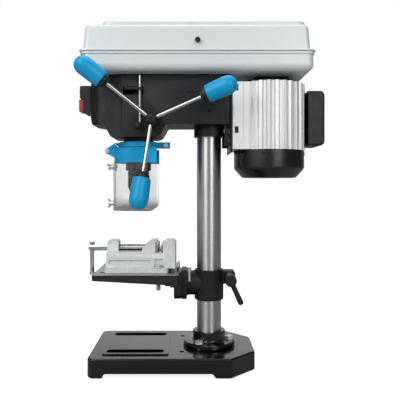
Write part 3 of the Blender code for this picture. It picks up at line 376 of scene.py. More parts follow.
class Nodes:
    """A material's nodes, with the few steps that every finish here needs."""

    def __init__(self, name, colour, roughness, metallic=0.0, slot=None, **sockets):
        self.made = bpy.data.materials.new("look_" + name)
        self.made.use_nodes = True
        self.tree = self.made.node_tree
        self.shader = self.tree.nodes["Principled BSDF"]
        self.shader.inputs["Base Color"].default_value = (*colour, 1.0)
        self.shader.inputs["Roughness"].default_value = roughness
        self.shader.inputs["Metallic"].default_value = metallic
        for key, value in sockets.items():
            self.shader.inputs[key.replace("_", " ")].default_value = value
        self.place = self.tree.nodes.new("ShaderNodeTexCoord").outputs["Object"]
        self.bumped = None
        MATERIALS[name] = self.made

    def node(self, kind, **inputs):
        return add_node(self.tree, kind, **inputs)

    def noise(self, scale, detail=3.0, stretch=(1, 1, 1), rough=0.55):
        at = self.node("Mapping", Vector=self.place, Scale=stretch).outputs[0]
        return self.node("TexNoise", Vector=at, Scale=scale, Detail=detail, Roughness=rough).outputs["Fac"]

    def spread(self, value, low, high, start=0.3, end=0.7):
        """A texture's value turned into a number between low and high."""
        made = self.node("MapRange", Value=value, From_Min=start, From_Max=end, To_Min=low, To_Max=high)
        return made.outputs[0]

    def rough(self, value, low, high, start=0.3, end=0.7):
        self.tree.links.new(self.spread(value, low, high, start, end), self.shader.inputs["Roughness"])
        return self

    def bump(self, value, distance, strength=1.0):
        made = self.node("Bump", Strength=strength, Distance=distance, Height=value)
        if self.bumped:
            self.tree.links.new(self.bumped, made.inputs["Normal"])
        self.bumped = made.outputs[0]
        self.tree.links.new(self.bumped, self.shader.inputs["Normal"])
        return self

    def tint(self, value, other, start=0.3, end=0.7):
        """Blends the colour so far towards another where the texture's value is high."""
        mix = self.node("Mix")
        mix.data_type = "RGBA"
        self.tree.links.new(self.spread(value, 0.0, 1.0, start, end), mix.inputs[0])
        old = self.shader.inputs["Base Color"]
        if old.links:
            self.tree.links.new(old.links[0].from_socket, mix.inputs[6])
        else:
            mix.inputs[6].default_value = old.default_value
        mix.inputs[7].default_value = (*other, 1.0)
        self.tree.links.new(mix.outputs[2], old)
        return self

    def edges(self, other, start=0.56, end=0.66):
        """Lighter, rubbed edges."""
        worn = self.node("NewGeometry").outputs["Pointiness"]
        return self.tint(worn, other, start, end)


def gloss_black(name, slot):
    made = Nodes(name, (0.0028, 0.003, 0.0032), 0.16, slot=slot, Specular_IOR_Level=0.4, Coat_Weight=0.3,
            Coat_Roughness=0.08)
    made.rough(made.noise(34, 4), 0.12, 0.24)
    made.bump(made.noise(240, 2), 0.00016, 0.5).bump(made.noise(30, 2), 0.0006, 0.25)
    made.tint(made.noise(900, 2), (0.010, 0.010, 0.011), 0.58, 0.8)
    made.edges((0.02, 0.02, 0.021), 0.54, 0.62)


def cast_black(name, slot):
    made = Nodes(name, (0.009, 0.0095, 0.0105), 0.42, slot=slot, Specular_IOR_Level=0.26)
    made.rough(made.noise(90, 4), 0.34, 0.52)
    made.bump(made.noise(620, 3), 0.00022, 0.55).bump(made.noise(120, 3), 0.00035, 0.35)
    made.tint(made.noise(260, 4), (0.015, 0.016, 0.018), 0.45, 0.75)
    made.edges((0.03, 0.031, 0.033), 0.56, 0.68)


def powder_coat(name, slot):
    made = Nodes(name, (0.62, 0.655, 0.66), 0.3, slot=slot, Specular_IOR_Level=0.5, Coat_Weight=0.15,
            Coat_Roughness=0.2)
    made.rough(made.noise(55, 4), 0.29, 0.34)
    made.bump(made.noise(420, 2), 0.00010, 0.25).bump(made.noise(9, 1), 0.0010, 0.05)
    made.tint(made.noise(5, 2), (0.605, 0.64, 0.646), 0.3, 0.8)


def vise_paint(name, slot):
    made = Nodes(name, (0.64, 0.66, 0.665), 0.38, 0.05, slot=slot)
    made.rough(made.noise(130, 4), 0.28, 0.46)
    made.bump(made.noise(480, 3), 0.00022, 0.5).bump(made.noise(95, 3), 0.00045, 0.4)
    made.tint(made.noise(160, 4), (0.56, 0.58, 0.59), 0.45, 0.8)
    made.edges((0.72, 0.74, 0.745), 0.54, 0.62)


def planed_iron(name, slot):
    """Bare iron with the planer's lines on its top, black paint on every other face."""
    made = Nodes(name, (0.30, 0.31, 0.32), 0.3, slot=slot)
    facing = made.node("SeparateXYZ", Vector=made.node("NewGeometry").outputs["Normal"]).outputs["Z"]
    height = made.node("SeparateXYZ", Vector=made.place).outputs["Z"]
    top = made.node("Math", _0=made.spread(facing, 0, 1, 0.6, 0.9),
            _1=made.spread(height, 0, 1, 0.1755, 0.1765))
    top.operation = "MULTIPLY"
    top = top.outputs[0]
    lines = made.noise(60, 4, (1, 26, 1))
    made.tint(lines, (0.42, 0.43, 0.44), 0.35, 0.75)
    made.tint(made.noise(38, 4), (0.24, 0.245, 0.25), 0.5, 0.85)
    painted = made.node("Math", _0=1.0, _1=top)
    painted.operation = "SUBTRACT"
    made.tint(painted.outputs[0], (0.009, 0.009, 0.0095), 0.4, 0.6)
    made.tree.links.new(made.spread(top, 0.0, 0.9, 0.4, 0.6), made.shader.inputs["Metallic"])
    made.rough(made.noise(90, 4, (1, 9, 1)), 0.24, 0.40)
    made.bump(lines, 0.00008, 0.6).bump(made.noise(300, 3), 0.00014, 0.35)


def metal(name, slot, colour, low, high, grain=(1, 1, 1), scale=120, depth=0.00005, dark=None, metallic=1.0,
        anisotropic=0.0):
    """A metal whose fine lines run along the axes where grain is small."""
    made = Nodes(name, colour, (low + high) / 2, metallic, slot=slot, Anisotropic=anisotropic)
    lines = made.noise(scale, 5, grain, 0.62)
    made.rough(lines, low, high)
    made.bump(lines, depth, 0.6)
    made.tint(made.noise(26, 3), dark or tuple(c * 0.86 for c in colour), 0.45, 0.8)
    return made


def plastic(name, slot, colour, low, high, grainy=0.0, spot=None, **sockets):
    made = Nodes(name, colour, (low + high) / 2, slot=slot, **sockets)
    made.rough(made.noise(60, 4), low, high)
    made.bump(made.noise(30, 2), 0.0004, 0.12)
    if grainy:
        made.bump(made.noise(1100, 2), 0.00016 * grainy, 0.6)
    made.tint(made.noise(22, 3), spot or tuple(c * 0.88 for c in colour), 0.4, 0.8)
    made.edges(tuple(min(1.0, c * 1.25 + 0.006) for c in colour), 0.55, 0.65)
    return made


gloss_black("enamel", "black_paint")
cast_black("casting", "black_casting")
powder_coat("powder", "grey_paint")
vise_paint("vise_paint", "vise_casting")
planed_iron("planed", "machined_iron")
ground = metal("ground", "ground_steel", (0.54, 0.54, 0.535), 0.30, 0.36, (1, 1, 30), 40, 0.000004,
        anisotropic=0.9)
ring_way = ground.node("Tangent")
ring_way.direction_type, ring_way.axis = "RADIAL", "Z"
ground.tree.links.new(ring_way.outputs[0], ground.shader.inputs["Tangent"])
ground.shader.inputs["Anisotropic Rotation"].default_value = 0.25
metal("bright", "chrome", (0.62, 0.625, 0.635), 0.10, 0.18, (1, 1, 1), 60, 0.00002)
metal("lever_steel", "chrome", (0.46, 0.47, 0.475), 0.22, 0.32, (1, 1, 1), 60, 0.00002)
metal("zinc_plate", "zinc", (0.66, 0.675, 0.69), 0.24, 0.40, (1, 1, 1), 420, 0.00005, metallic=0.7)
metal("turned", "ground_steel", (0.46, 0.465, 0.47), 0.22, 0.36, (1, 1, 30), 60, 0.00006)
metal("black_oxide", "dark_steel", (0.035, 0.035, 0.038), 0.24, 0.42, (1, 1, 20), 60, 0.00005,
        metallic=0.85)
metal("extruded", "aluminium", (0.74, 0.745, 0.74), 0.34, 0.46, (34, 34, 1), 22, 0.00008,
        (0.68, 0.69, 0.69), metallic=0.4, anisotropic=0.2)
metal("diecast", "aluminium", (0.60, 0.61, 0.62), 0.32, 0.48, (1, 1, 1), 300, 0.00012)
plastic("blue", "blue_plastic", (0.003, 0.315, 0.60), 0.26, 0.38, Specular_IOR_Level=0.25)
plastic("black_gloss", "black_plastic", (0.004, 0.004, 0.0045), 0.22, 0.32, Specular_IOR_Level=0.55)
plastic("black_satin", "black_plastic", (0.011, 0.011, 0.012), 0.36, 0.5, 1.0, Specular_IOR_Level=0.3)
plastic("red", "red_plastic", (0.52, 0.012, 0.018), 0.25, 0.38)
plastic("green", "green_plastic", (0.012, 0.22, 0.05), 0.25, 0.38)
plastic("belt_rubber", "rubber", (0.012, 0.012, 0.012), 0.55, 0.75, 1.5)
clear = Nodes("clear", (0.90, 0.905, 0.895), 0.05, slot="clear_plastic", IOR=1.49, Transmission_Weight=1.0)
clear.rough(clear.noise(40, 4), 0.02, 0.12)
clear.bump(clear.noise(24, 2), 0.0008, 0.12)

LOOK = {"black_paint": "enamel", "black_casting": "casting", "grey_paint": "powder",
        "machined_iron": "planed", "vise_casting": "vise_paint", "ground_steel": "turned",
        "chrome": "bright", "zinc": "zinc_plate", "dark_steel": "black_oxide", "aluminium": "diecast",
        "blue_plastic": "blue", "clear_plastic": "clear", "black_plastic": "black_satin",
        "red_plastic": "red", "green_plastic": "green", "rubber": "belt_rubber"}
for node in frame["nodes"].values():
    for place_in in node.material_slots:
        place_in.material = MATERIALS[LOOK[place_in.material.name.split(".")[0]]]


# ---- camera, light and floor ----
def make_camera():
    lens = bpy.data.cameras.new("camera")
    lens.lens, lens.sensor_width, lens.shift_x, lens.shift_y = 47.34, 36.0, 0.0225, -0.0375
    lens.clip_start, lens.clip_end = 0.01, 50
    camera = bpy.data.objects.new("camera", lens)
    camera.location = Vector((-34.2, -1000, 335.6)) * MM + ORIGIN
    camera.rotation_euler = (math.radians(90), 0, 0)
    bpy.context.scene.collection.objects.link(camera)
    bpy.context.scene.camera = camera


def make_floor():
    floor = bpy.data.objects.new("floor", raw([(-9000, -9000, -0.3), (9000, -9000, -0.3),
            (9000, 9000, -0.3), (-9000, 9000, -0.3)], [(0, 1, 2, 3)]))
    paint = Nodes("floor", (0.40, 0.40, 0.40), 0.6, Emission_Color=(1.0, 1.0, 1.0, 1.0),
            Specular_IOR_Level=0.0)
    paint.rough(paint.noise(3, 2), 0.55, 0.65)
    seen = paint.node("LightPath").outputs["Is Camera Ray"]
    glow = paint.spread(seen, 0.0, FLOOR_GLOW, 0.0, 1.0)
    paint.tree.links.new(glow, paint.shader.inputs["Emission Strength"])
    floor.data.materials.append(paint.made)
    bpy.context.scene.collection.objects.link(floor)


def make_lights():
    lamps = [("key", (-900, -1300, 1300), (-30, 0, 300), (800, 1100), 13)]
    lamps.append(("fill", (700, -1500, 900), (20, 0, 300), (700, 1100), 7.5))
    lamps.append(("top", (0, 200, 1900), (0, 0, 300), (1400, 1400), 12))
    for name, at, aim_at, size, power in lamps:
        light = bpy.data.lights.new(name, "AREA")
        light.shape, light.size, light.size_y, light.energy = "RECTANGLE", size[0] * MM, size[1] * MM, power
        lamp = bpy.data.objects.new(name, light)
        lamp.location = Vector(at) * MM + ORIGIN
        aim = (Vector(aim_at) - Vector(at)).to_track_quat("-Z", "Y")
        lamp.rotation_euler = aim.to_euler()
        bpy.context.scene.collection.objects.link(lamp)


def make_world():
    """A plain white backdrop, and softly banded light for the metals to reflect."""
    world = bpy.data.worlds.new("studio")
    bpy.context.scene.world = world
    world.use_nodes = True
    tree = world.node_tree
    tree.nodes.clear()
    place = add_node(tree, "TexCoord").outputs["Generated"]
    split = add_node(tree, "SeparateXYZ", _0=place)
    turn = add_node(tree, "Math", _0=split.outputs["X"], _1=split.outputs["Y"])
    turn.operation = "ARCTAN2"
    spread = add_node(tree, "MapRange", Value=turn.outputs[0], From_Min=-math.pi, From_Max=math.pi)
    ramp = add_node(tree, "ValToRGB", _0=spread.outputs[0])
    # brightness by direction: 0 and 1 are the operator's right, 0.25 the front, 0.75 the back
    stops = ((0.0, 0.55), (0.02, 0.45), (0.07, 0.8), (0.13, 1.5), (0.18, 0.9), (0.24, 0.15), (0.34, 0.12),
            (0.5, 1.0), (0.66, 0.12), (0.78, 0.12), (0.86, 0.22), (0.91, 0.6), (0.94, 0.85), (0.97, 0.65),
            (1.0, 0.55))
    marks = ramp.color_ramp.elements
    while len(marks) < len(stops):
        marks.new(0.5)
    for mark, (at, value) in zip(marks, stops):
        mark.position = at
        mark.color = (value, value, value * 1.005, 1.0)
    glow = add_node(tree, "Background", Color=ramp.outputs[0], Strength=WORLD_STRENGTH)
    backdrop = add_node(tree, "Background", Color=(1.0, 1.0, 1.0, 1.0))
    path = add_node(tree, "LightPath")
    plain = add_node(tree, "Math", _0=path.outputs["Is Camera Ray"], _1=path.outputs["Is Transmission Ray"])
    plain.operation = "MAXIMUM"
    choose = add_node(tree, "MixShader", _0=plain.outputs[0], _1=glow.outputs[0], _2=backdrop.outputs[0])
    add_node(tree, "OutputWorld", _0=choose.outputs[0])
    bpy.context.scene.view_settings.view_transform = "Standard"


make_camera()
make_floor()
make_lights()
make_world()


# ---- stand ----
def make_base():
    outline = rounded([(-215.5, -91, 13), (35.7, -91, 7), (81.7, -45, 7), (81.7, 45, 7), (35.7, 91, 7),
            (-215.5, 91, 13)], 8)
    shell = solid(plate(outline, 0, 34.5), bevel=3.2, segments=4)
    inside = rounded([(-208.5, -84, 7), (32.7, -84, 3), (74.7, -42, 3), (74.7, 42, 3), (32.7, 84, 3),
            (-208.5, 84, 7)], 5)
    platform = solid(slab(-192, -74, -70, 70, 5, 6, 30, 37), bevel=0.9, segments=3)
    pad = lathe([(0, 37), (41, 37), (42, 36.2), (42, 30), (0, 30)], 96)
    arch = rounded([(-190, -2), (12, -2), (3, 8.6, 4), (-185, 8.6, 4)], 5)
    cuts = [plate(inside, -2, 27.5), plate(arch, -120, 120, "Y")]
    for side in (-1, 1):
        cuts.append(slab(-186, -83, 54 * side - 9.5, 54 * side + 9.5, 7, 8, 20, 45))
        cuts.append(post(-51, 50 * side, 20, 45, 4.5))
    cuts += [post(x, y, 20, 45, 4.4) for x, y in around(0, 0, BOLT_CIRCLE, 3)]
    base = solid(shell, cuts, [platform, pad], bevel=0.5, segments=2, angle=50)
    piece("base_casting", base, "enamel", "base")
    # ribs under the top
    ribs = [box((-203, y - 2, 12), (70 if abs(y) < 40 else 30, y + 2, 27.4)) for y in (-36, 36)]
    ribs += [box((x - 2, -83.9, 12), (x + 2, 83.9, 27.4)) for x in (-76, -30)]
    for i, rib in enumerate(ribs):
        piece(f"base_rib_{i + 1}", solid(rib, bevel=0.8), "enamel", body="stand")


def make_flange_and_column():
    profile = [(29.2, 62), (30.5, 60.6), (30.5, 48), (31.4, 45.6), (33.6, 44), (46.6, 44), (48.5, 42.4),
            (48.5, 37.3), (23.3, 37.3), (23.3, 61), (24.3, 62)]
    cuts = [post(x, y, 30, 56, 4.6) for x, y in around(0, 0, BOLT_CIRCLE, 3)]
    cuts.append(axle(0, 53, -20, -40, 3.4, 24))
    flange = solid(lathe(profile, 96, True), cuts, bevel=0.4, angle=50)
    piece("flange_casting", flange, "enamel", "column_flange")
    for i, (x, y) in enumerate(around(0, 0, BOLT_CIRCLE, 3)):
        washer = tube(8.2, 4.1, 44.0, 45.4, 40, 0.3)
        bolt = merged(washer, hexagon(13, 45.4, 49.8), lathe([(0, 46), (3.9, 46), (3.9, 31.4), (3.2, 31),
                (0, 31)], 24))
        piece(f"flange_bolt_with_washer_{i + 1}", shift(spun(bolt, 17 + 31 * i), x, y), "zinc_plate",
                f"flange_bolt_{i + 1}")
    piece("flange_set_screw", aimed(solid(lathe([(0, 0), (3.1, 0), (3.3, -0.3), (3.3, -5), (0, -5)], 24),
            [hexagon(3.0, -2.5, 1, 0.05)]), (0, -29.4, 53), RIGHT), "black_oxide", body="stand")
    tube_profile = [(22.4, 512), (23, 511.4), (23, 37.9), (22.4, 37.3), (20, 37.3), (20, 512)]
    piece("column_tube", lathe(tube_profile, 128, True), "ground", "column")


# ---- table bracket, lever and table ----
def make_bracket():
    collar = lathe([(26.2, 176.5), (27.5, 175.2), (27.5, 121.3), (26.2, 120), (10, 120), (10, 176.5)], 96,
            True)
    flange = slab(-30, 30, 123, 178, 12, 8, -52, -42, "X")
    lugs = plate(rounded([(16, 150, 0), (49, 150, 5), (49, 174, 5), (16, 174, 0)], 6), -13, 13, "Y")
    joins = [along_x(0, TILT_Z, -48, -8, 23, 72), flange, lugs,
            plate([(-42, 126), (-26, 134), (-26, 168), (-42, 176)], -3.5, 3.5, "Y")]
    cuts = [post(0, 0, 100, 200, 23.3, 96), box((15, -2.2, 100), (60, 2.2, 200)),
            axle(LOCK_X, LOCK_Z, -40, 40, 4.6), along_x(0, TILT_Z, -60, -28, 6.6)]
    bracket = solid(collar, cuts, joins, bevel=0.9, segments=3, angle=48)
    piece("bracket_casting", bracket, "casting", "table_bracket")
    pin = lathe([(0, 9), (3.0, 9), (4.0, 8), (4.0, 1), (2.8, 0.4), (2.8, -17), (0, -17)], 36)
    piece("table_zero_pin", aimed(pin, (-37.5, -24, 174), UP), "zinc_plate", body="bracket")
    nut = merged(aimed(hexagon(13, 0, 5.5), (LOCK_X, 13.1, LOCK_Z), LEFT),
            aimed(thread(4.2, 0.35, 1.25, 0, 8.6), (LOCK_X, 13.1, LOCK_Z), LEFT))
    piece("clamp_nut", nut, "zinc_plate", body="lock_lever")


def make_lock_lever():
    lever = lathe([(0, 53), (8.6, 53), (10.8, 50.8), (10.8, 40), (10.1, 39), (10.1, 17), (10.8, 16),
            (10.8, 13.6), (0, 13.6)], 48)
    lever = aimed(lever, (LOCK_X, 0, LOCK_Z), RIGHT)
    arm = Vector((57.5, -48.5, 119)) - Vector((LOCK_X, -46, LOCK_Z))
    path = [Vector((LOCK_X, -46, LOCK_Z)) + arm * t for t in (0, 0.2, 0.45, 0.7, 0.86, 0.94, 0.98, 1.0)]
    grip = swept(path, [5.2, 5.0, 4.6, 4.9, 5.2, 5.0, 4.0, 1.8], 28)
    body = solid(lever, joins=[grip], bevel=0.3, angle=60)
    piece("lock_lever_moulding", body, "black_satin", "table_lock_lever")
    end = solid(lathe([(0, 0.4), (4.4, 0.4), (5.2, -0.2), (5.2, -2), (0, -2)], 32),
            [hexagon(4.0, -1.6, 1, 0.05)])
    stud = merged(axle(LOCK_X, LOCK_Z, -14, 22, 4.1, 28), aimed(end, (LOCK_X, -52.5, LOCK_Z), RIGHT))
    piece("lock_lever_stud", stud, "zinc_plate", body="lock_lever")


def make_table():
    top = slab(-209, -56, -79, 79, 5, 6, 158, 177)
    boss = slab(-30, 30, 123.5, 175, 12, 8, -66, -52.5, "X")
    rear = plate(rounded([(-42, 170), (42, 170), (42, 187, 5), (-42, 187, 5)], 5), -60.5, -56.5, "X")
    cuts = [plate([(-204, 150), (-204, 169), (-66.4, 169), (-66.4, 150)], -74, 74, "Y"),
            plate([(-230, 140), (-230, 167), (-206, 167), (-80, 160), (-72, 140)], -100, 100, "Y"),
            along_x(0, TILT_Z, -90, -30, 6.6)]
    for side in (-1, 1):
        cuts.append(slab(-200, -68, 49 * side - 5, 49 * side + 5, 4.9, 8, 150, 190))
    table = solid(top, cuts, [boss, rear], bevel=0.8, segments=3, angle=50)
    piece("table_casting", table, "planed", "work_table")
    for i, y in ((1, -26), (3, 26)):
        rib = plate([(-203.9, 168.9), (-66.5, 168.9), (-66.5, 163), (-203.9, 166.4)], y - 1.8, y + 1.8, "Y")
        piece(f"table_rib_{i}", rib, "casting", body="table")
    for node, y in (("vise_bolt_1", -VISE_BOLT_Y), ("vise_bolt_2", VISE_BOLT_Y)):
        bolt = merged(tube(8.6, 4.2, 186.2, 187.6, 40, 0.3), hexagon(13, 187.6, 191.2),
                thread(4.0, 0.35, 1.25, 145.4, 186.3))
        piece(node + "_hex", shift(spun(bolt, 11 if y > 0 else 40), VISE_BOLT_X, y), "zinc_plate", node)
    bolt = merged(hexagon(18, 0.9, 7), tube(10.6, 6.2, -0.6, 0.9, 40, 0.3),
            thread(6.1, 0.45, 1.75, -36, 0.5))
    piece("tilt_bolt_hex", aimed(bolt, (-67, 0, TILT_Z), FRONT), "zinc_plate", "table_tilt_bolt")


# ---- drill vise ----
def make_vise():
    bed = box((-189, -44, 184), (-63, 44, 212))
    foot = slab(-191, -75, -56, 56, 7, 8, 177.3, 186)
    fixed = [(-85, 200), (-85, 227), (-82, 230), (-67, 230), (-63, 226), (-63, 200)]
    lug = rounded([(-191, 200), (-170, 200), (-170, 232, 5), (-191, 232, 5)], 6)
    cuts = [box((-169.7, -8, 204), (-85.3, 8, 215)), box((-166, -8, 170), (-90, 8, 206)),
            along_x(0, SCREW_Z, -195, -160, 6.8), box((-182, 13, 170), (-106, 38, 205)),
            box((-182, -38, 170), (-106, -13, 205)), box((-83.5, -37, 170), (-69, 37, 219))]
    for side in (-1, 1):
        cuts.append(post(VISE_BOLT_X, VISE_BOLT_Y * side, 150, 201, 4.6))
        cuts.append(post(VISE_BOLT_X, VISE_BOLT_Y * side, 186, 201, 9.5))
        cuts.append(slab(-175, -150, 49 * side - 3.6, 49 * side + 3.6, 3.5, 8, 170, 190))
        # the undercut of the bed between its foot and its rails
        cuts.append(box((-184, 44 * side - 3, 192), (-108, 44 * side + 3, 199)))
    body = solid(bed, cuts, [foot, plate(fixed, -44, 44, "Y"), plate(lug, -16, 16, "Y")], bevel=0.9,
            segments=3, angle=50)
    piece("vise_bed_casting", body, "vise_paint", "vise_body")
    jaw_side = rounded([(-123, 212.3), (-123, 220, 3), (-110, 230, 3), (-99, 230, 1), (-99, 212.3)], 4)
    jaw = solid(plate(jaw_side, -44, 44, "Y"), [along_x(0, SCREW_Z, -130, -102.7, 6.8)],
            [box((-117, -7.4, 192), (-101, 7.4, 214))], bevel=0.9, segments=3, angle=50)
    piece("vise_jaw_casting", jaw, "vise_paint", "vise_moving_jaw")

    for name, x_low, x_high, bite, body_name in (("fixed", -88.9, -85, -88.9, "table"),
            ("moving", -99, -95.1, -95.1, "jaw")):
        cuts = [box((bite - 0.35, -45, z), (bite + 0.35, 45, z + 0.7)) for z in (215, 217, 222.6, 224.6)]
        if name == "moving":
            cuts.append(plate([(bite + 1, 217.4), (bite - 1.8, 219.8), (bite + 1, 222.2)], -45, 45, "Y"))
            cuts.append(shift(spun(box((-3, -3, 205), (3, 3, 240)), 45), bite + 1.4))
        back = x_low if name == "fixed" else x_high
        cuts += [along_x(y, 219.8, back - 2, back + 2, 3.5, 32) for y in (-28, 28)]
        face = solid(box((x_low, -42, 213), (x_high, 42, 226)), cuts, bevel=0.25, angle=50)
        piece(f"vise_{name}_jaw_plate", face, "turned", body=body_name)
        way = 1 if name == "fixed" else -1
        for i, y in enumerate((-28, 28)):
            screw = cap_screw((back + way * 1.0, y, 219.8), (-way, 0, 0), 3.2, 0.6)
            piece(f"vise_{name}_plate_screw_{i + 1}", screw, "zinc_plate", body=body_name)


def make_vise_screw():
    front = solid(aimed(lathe([(0, 37.5), (5.8, 37.5), (6.5, 36.8), (6.5, 1), (5.5, 0), (0, 0)], 56),
            (-228, 0, SCREW_Z), BACK), [post(-222, 0, 205, 235, 4.4)], bevel=0.2)
    tail = along_x(0, SCREW_Z, -107, -103, 5.2, 40)
    turned = merged(front, aimed(thread(6.5, 0.6, 2.0, 0, 84), (-191, 0, SCREW_Z), BACK), tail)
    piece("vise_lead_screw", turned, "bright", "vise_screw")
    bar = lathe([(0, 228), (4.2, 228), (5.2, 227), (5.2, 225.4), (4.4, 224.6), (3.9, 224.4), (3.9, 171.4),
            (4.4, 171), (5.2, 170), (5.2, 167), (4.2, 166), (0, 166)], 48)
    piece("vise_handle_bar", shift(bar, -222), "bright", "vise_tommy_bar")


# ---- head ----
def make_head():
    side = [(-220, 536), (-220, 458, 2), (-216.5, 446.5, 3), (-192, 444, 3), (-180, 423, 4), (-99, 423, 5),
            (-90, 426.5, 4), (-84, 436, 4), (-79, 446, 5), (37, 446, 2), (37, 536)]
    plan = rounded([(37, -50, 4), (37, 50, 4), (-160, 50, 3), (-204, 41, 14), (-220, 25, 9), (-220, -25, 9),
            (-204, -41, 14), (-160, -50, 3)], 6)
    shell, trim = held(plate(rounded(side, 5), -60, 60, "Y")), held(plate(plan, 400, 560))
    step = shell.modifiers.new("trim", "BOOLEAN")
    step.operation, step.solver, step.object = "INTERSECT", "EXACT", trim
    bevel = shell.modifiers.new("round", "BEVEL")
    bevel.width, bevel.segments = 2.6 * MM, 3
    bevel.limit_method, bevel.angle_limit = "ANGLE", math.radians(50)
    shell = baked(shell)
    bpy.data.objects.remove(trim)
    hollow = [box((-214, -22, 463), (-165, 22, 560)), box((-200, -34, 450), (-165, 34, 560)),
            box((-160, -44, 431), (-93, 44, 560)), box((-100, -44, 452), (31, 44, 560)),
            box((-157, -60, 499), (-120, -42, 514))]
    shell = solid(shell, hollow)
    bosses = [post(0, 0, 426, 520, 28.5, 96), shift(lathe([(0, 436), (28.5, 436), (28.5, 405.2),
            (27.5, 404), (0, 404)], 96), SPINDLE_X), post(SPINDLE_X, 0, 425, 521, 25.5, 96),
            post(SPINDLE_X, 0, 517, 536, 30.4, 96), box((-40, -47, 449), (-34, 47, 534)),
            box((-9, -47, 449), (9, -25, 480)), axle(FEED_X, FEED_Z, -50.5, 48, 17, 72)]
    bosses += [along_x(y, SLIDE_Z, -37, 34, 9.4, 40) for y in SLIDE_SIDES]
    bores = [post(SPINDLE_X, 0, 390, 560, 20.3, 96), post(SPINDLE_X, 0, 524, 560, 26.3, 96),
            post(0, 0, 400, 512.3, 23.3, 96), axle(FEED_X, FEED_Z, -80, 80, 8.3),
            axle(FEED_X, FEED_Z, -11.6, 80, 12.8)]
    bores += [along_x(y, SLIDE_Z, -60, 60, 6.3, 40) for y in SLIDE_SIDES]
    bores += [axle(0, z, -60, -20, 3.5, 32) for z in (431, 469)]
    bores += [box((-160.6, -50.6, 426), (-159.9, -49.5, 497)),
            box((-160.6, 49.5, 426), (-159.9, 50.6, 534))]
    bores.append(slab(-42, -25, 501.5, 504.5, 1.4, 5, -60, -48, "Y"))
    head = solid(shell, bores, bosses, bevel=0.35, segments=2, angle=55)
    piece("head_shell_casting", head, "casting", "head_casting")
    for i, z in enumerate((431, 469)):
        screw = solid(lathe([(0, 0), (3.0, 0), (3.3, -0.4), (3.3, -9), (0, -9)], 32),
                [hexagon(3.0, -3.5, 1, 0.05)])
        depth = -27.9 if z < 440 else -48.5
        piece(f"head_set_screw_{i + 1}", aimed(screw, (0, depth, z), RIGHT), "black_oxide", body="head")
    # the feed shaft's depth scale, a thin ring with plain division marks
    marks = [spun(box((13.4, -0.2, 0.3), (15.3 if i % 5 else 14.4, 0.2, 1.0)), 360 * i / 50)
            for i in range(50)]
    ring = solid(tube(15.6, 12.3, -0.4, 0.7, 96, 0.2), marks)
    piece("feed_scale_ring", aimed(ring, (FEED_X, -51.0, FEED_Z), RIGHT), "black_oxide", body="head")
    # the front cover's screws
    screws("head_front_screw", [(-220, y, 462) for y in (-19, 19)], FRONT, 2.6, 1.2)
    # tension lock of the motor slide, on the right side of the head
    bolt = merged(tube(6.5, 3.2, 0, 1.2, 40, 0.2), hexagon(8, 1.2, 5.2))
    piece("slide_lock_bolt", aimed(bolt, (22, -50, 520), RIGHT), "zinc_plate", body="head")


def make_quill():
    quill = tube(20, 15.3, 403.5, 500, 96, 0.7)
    comb = []
    pitch = 2 * math.pi * 10.5 / 14
    for i in range(20):
        z = FEED_Z - 9 * pitch + i * pitch
        comb += [(-112.9, z - 1.75), (-115.6, z - 0.95), (-115.6, z + 0.95), (-112.9, z + 1.75)]
    comb = [(-108, comb[0][1] - 4)] + comb + [(-108, comb[-1][1] + 4)]
    quill = solid(shift(quill, SPINDLE_X), [plate(comb, -11, 11, "Y")], bevel=0.12)
    piece("quill_ground", quill, "turned", "quill")
    spindle = lathe([(0, 606), (6.3, 606), (7, 605.3), (7, 520), (8, 518), (8, 398.5), (6.2, 398),
            (5.8, 364), (0, 364)], 56)
    flats = [spun(box((5.9, -1.4, 526), (9, 1.4, 608)), 60 * k) for k in range(6)]
    piece("spindle_shaft", shift(solid(spindle, flats), SPINDLE_X), "turned", "spindle")


def make_chuck():
    body = [(6.5, 384), (22.4, 384), (24, 382.6), (24, 377.4), (23.3, 376.8), (23.3, 376), (24, 375.4),
            (24, 365), (22.6, 362.5), (16, 362.5), (16, 340), (14.6, 340), (14.6, 361), (6.5, 364.5)]
    holes = [rod((0, 0, 371), (30 * math.cos(a), 30 * math.sin(a), 371), 3.1, sides=28)
            for a in (math.radians(d) for d in (30, 150, 270))]
    chuck = solid(lathe(body, 96, True), holes, bevel=0.15)
    piece("chuck_body_turned", shift(chuck, SPINDLE_X), "black_oxide", "chuck_body")
    sleeve = [(19.4, 361.9), (20, 361.2), (20, 352.4), (19.3, 351.6), (19.3, 350.6), (20, 349.8), (20, 332),
            (17.5, 326), (13.4, 316.4), (12.6, 316), (10.8, 316), (10.8, 330), (16.4, 339.4), (16.4, 361.9)]
    teeth = [spun(plate([(18.3, -0.75), (21, -1.35), (21, 1.35), (18.3, 0.75)], 355, 363), 360 * k / 30)
            for k in range(30)]
    teeth += [spun(box((19.45, -0.35, 333), (21, 0.35, 349)), 360 * k / 45) for k in range(45)]
    piece("chuck_sleeve_turned", shift(solid(lathe(sleeve, 96, True), [merged(*teeth)]), SPINDLE_X),
            "black_oxide", "chuck_sleeve")
    for i, (x, y) in enumerate(around(0, 0, 1, 3, 90)):
        tilt = math.radians(10)
        run = Vector((x * math.sin(tilt), y * math.sin(tilt), math.cos(tilt)))
        low = Vector((SPINDLE_X, 0, 312)) + Vector((x, y, 0)) * 2.6
        jaw = lathe([(0, 25), (2.1, 25), (2.1, 1.2), (1.2, 0), (0, 0)], 28)
        piece(f"chuck_jaw_pin_{i + 1}", aimed(jaw, low, run), "turned", f"chuck_jaw_{i + 1}")


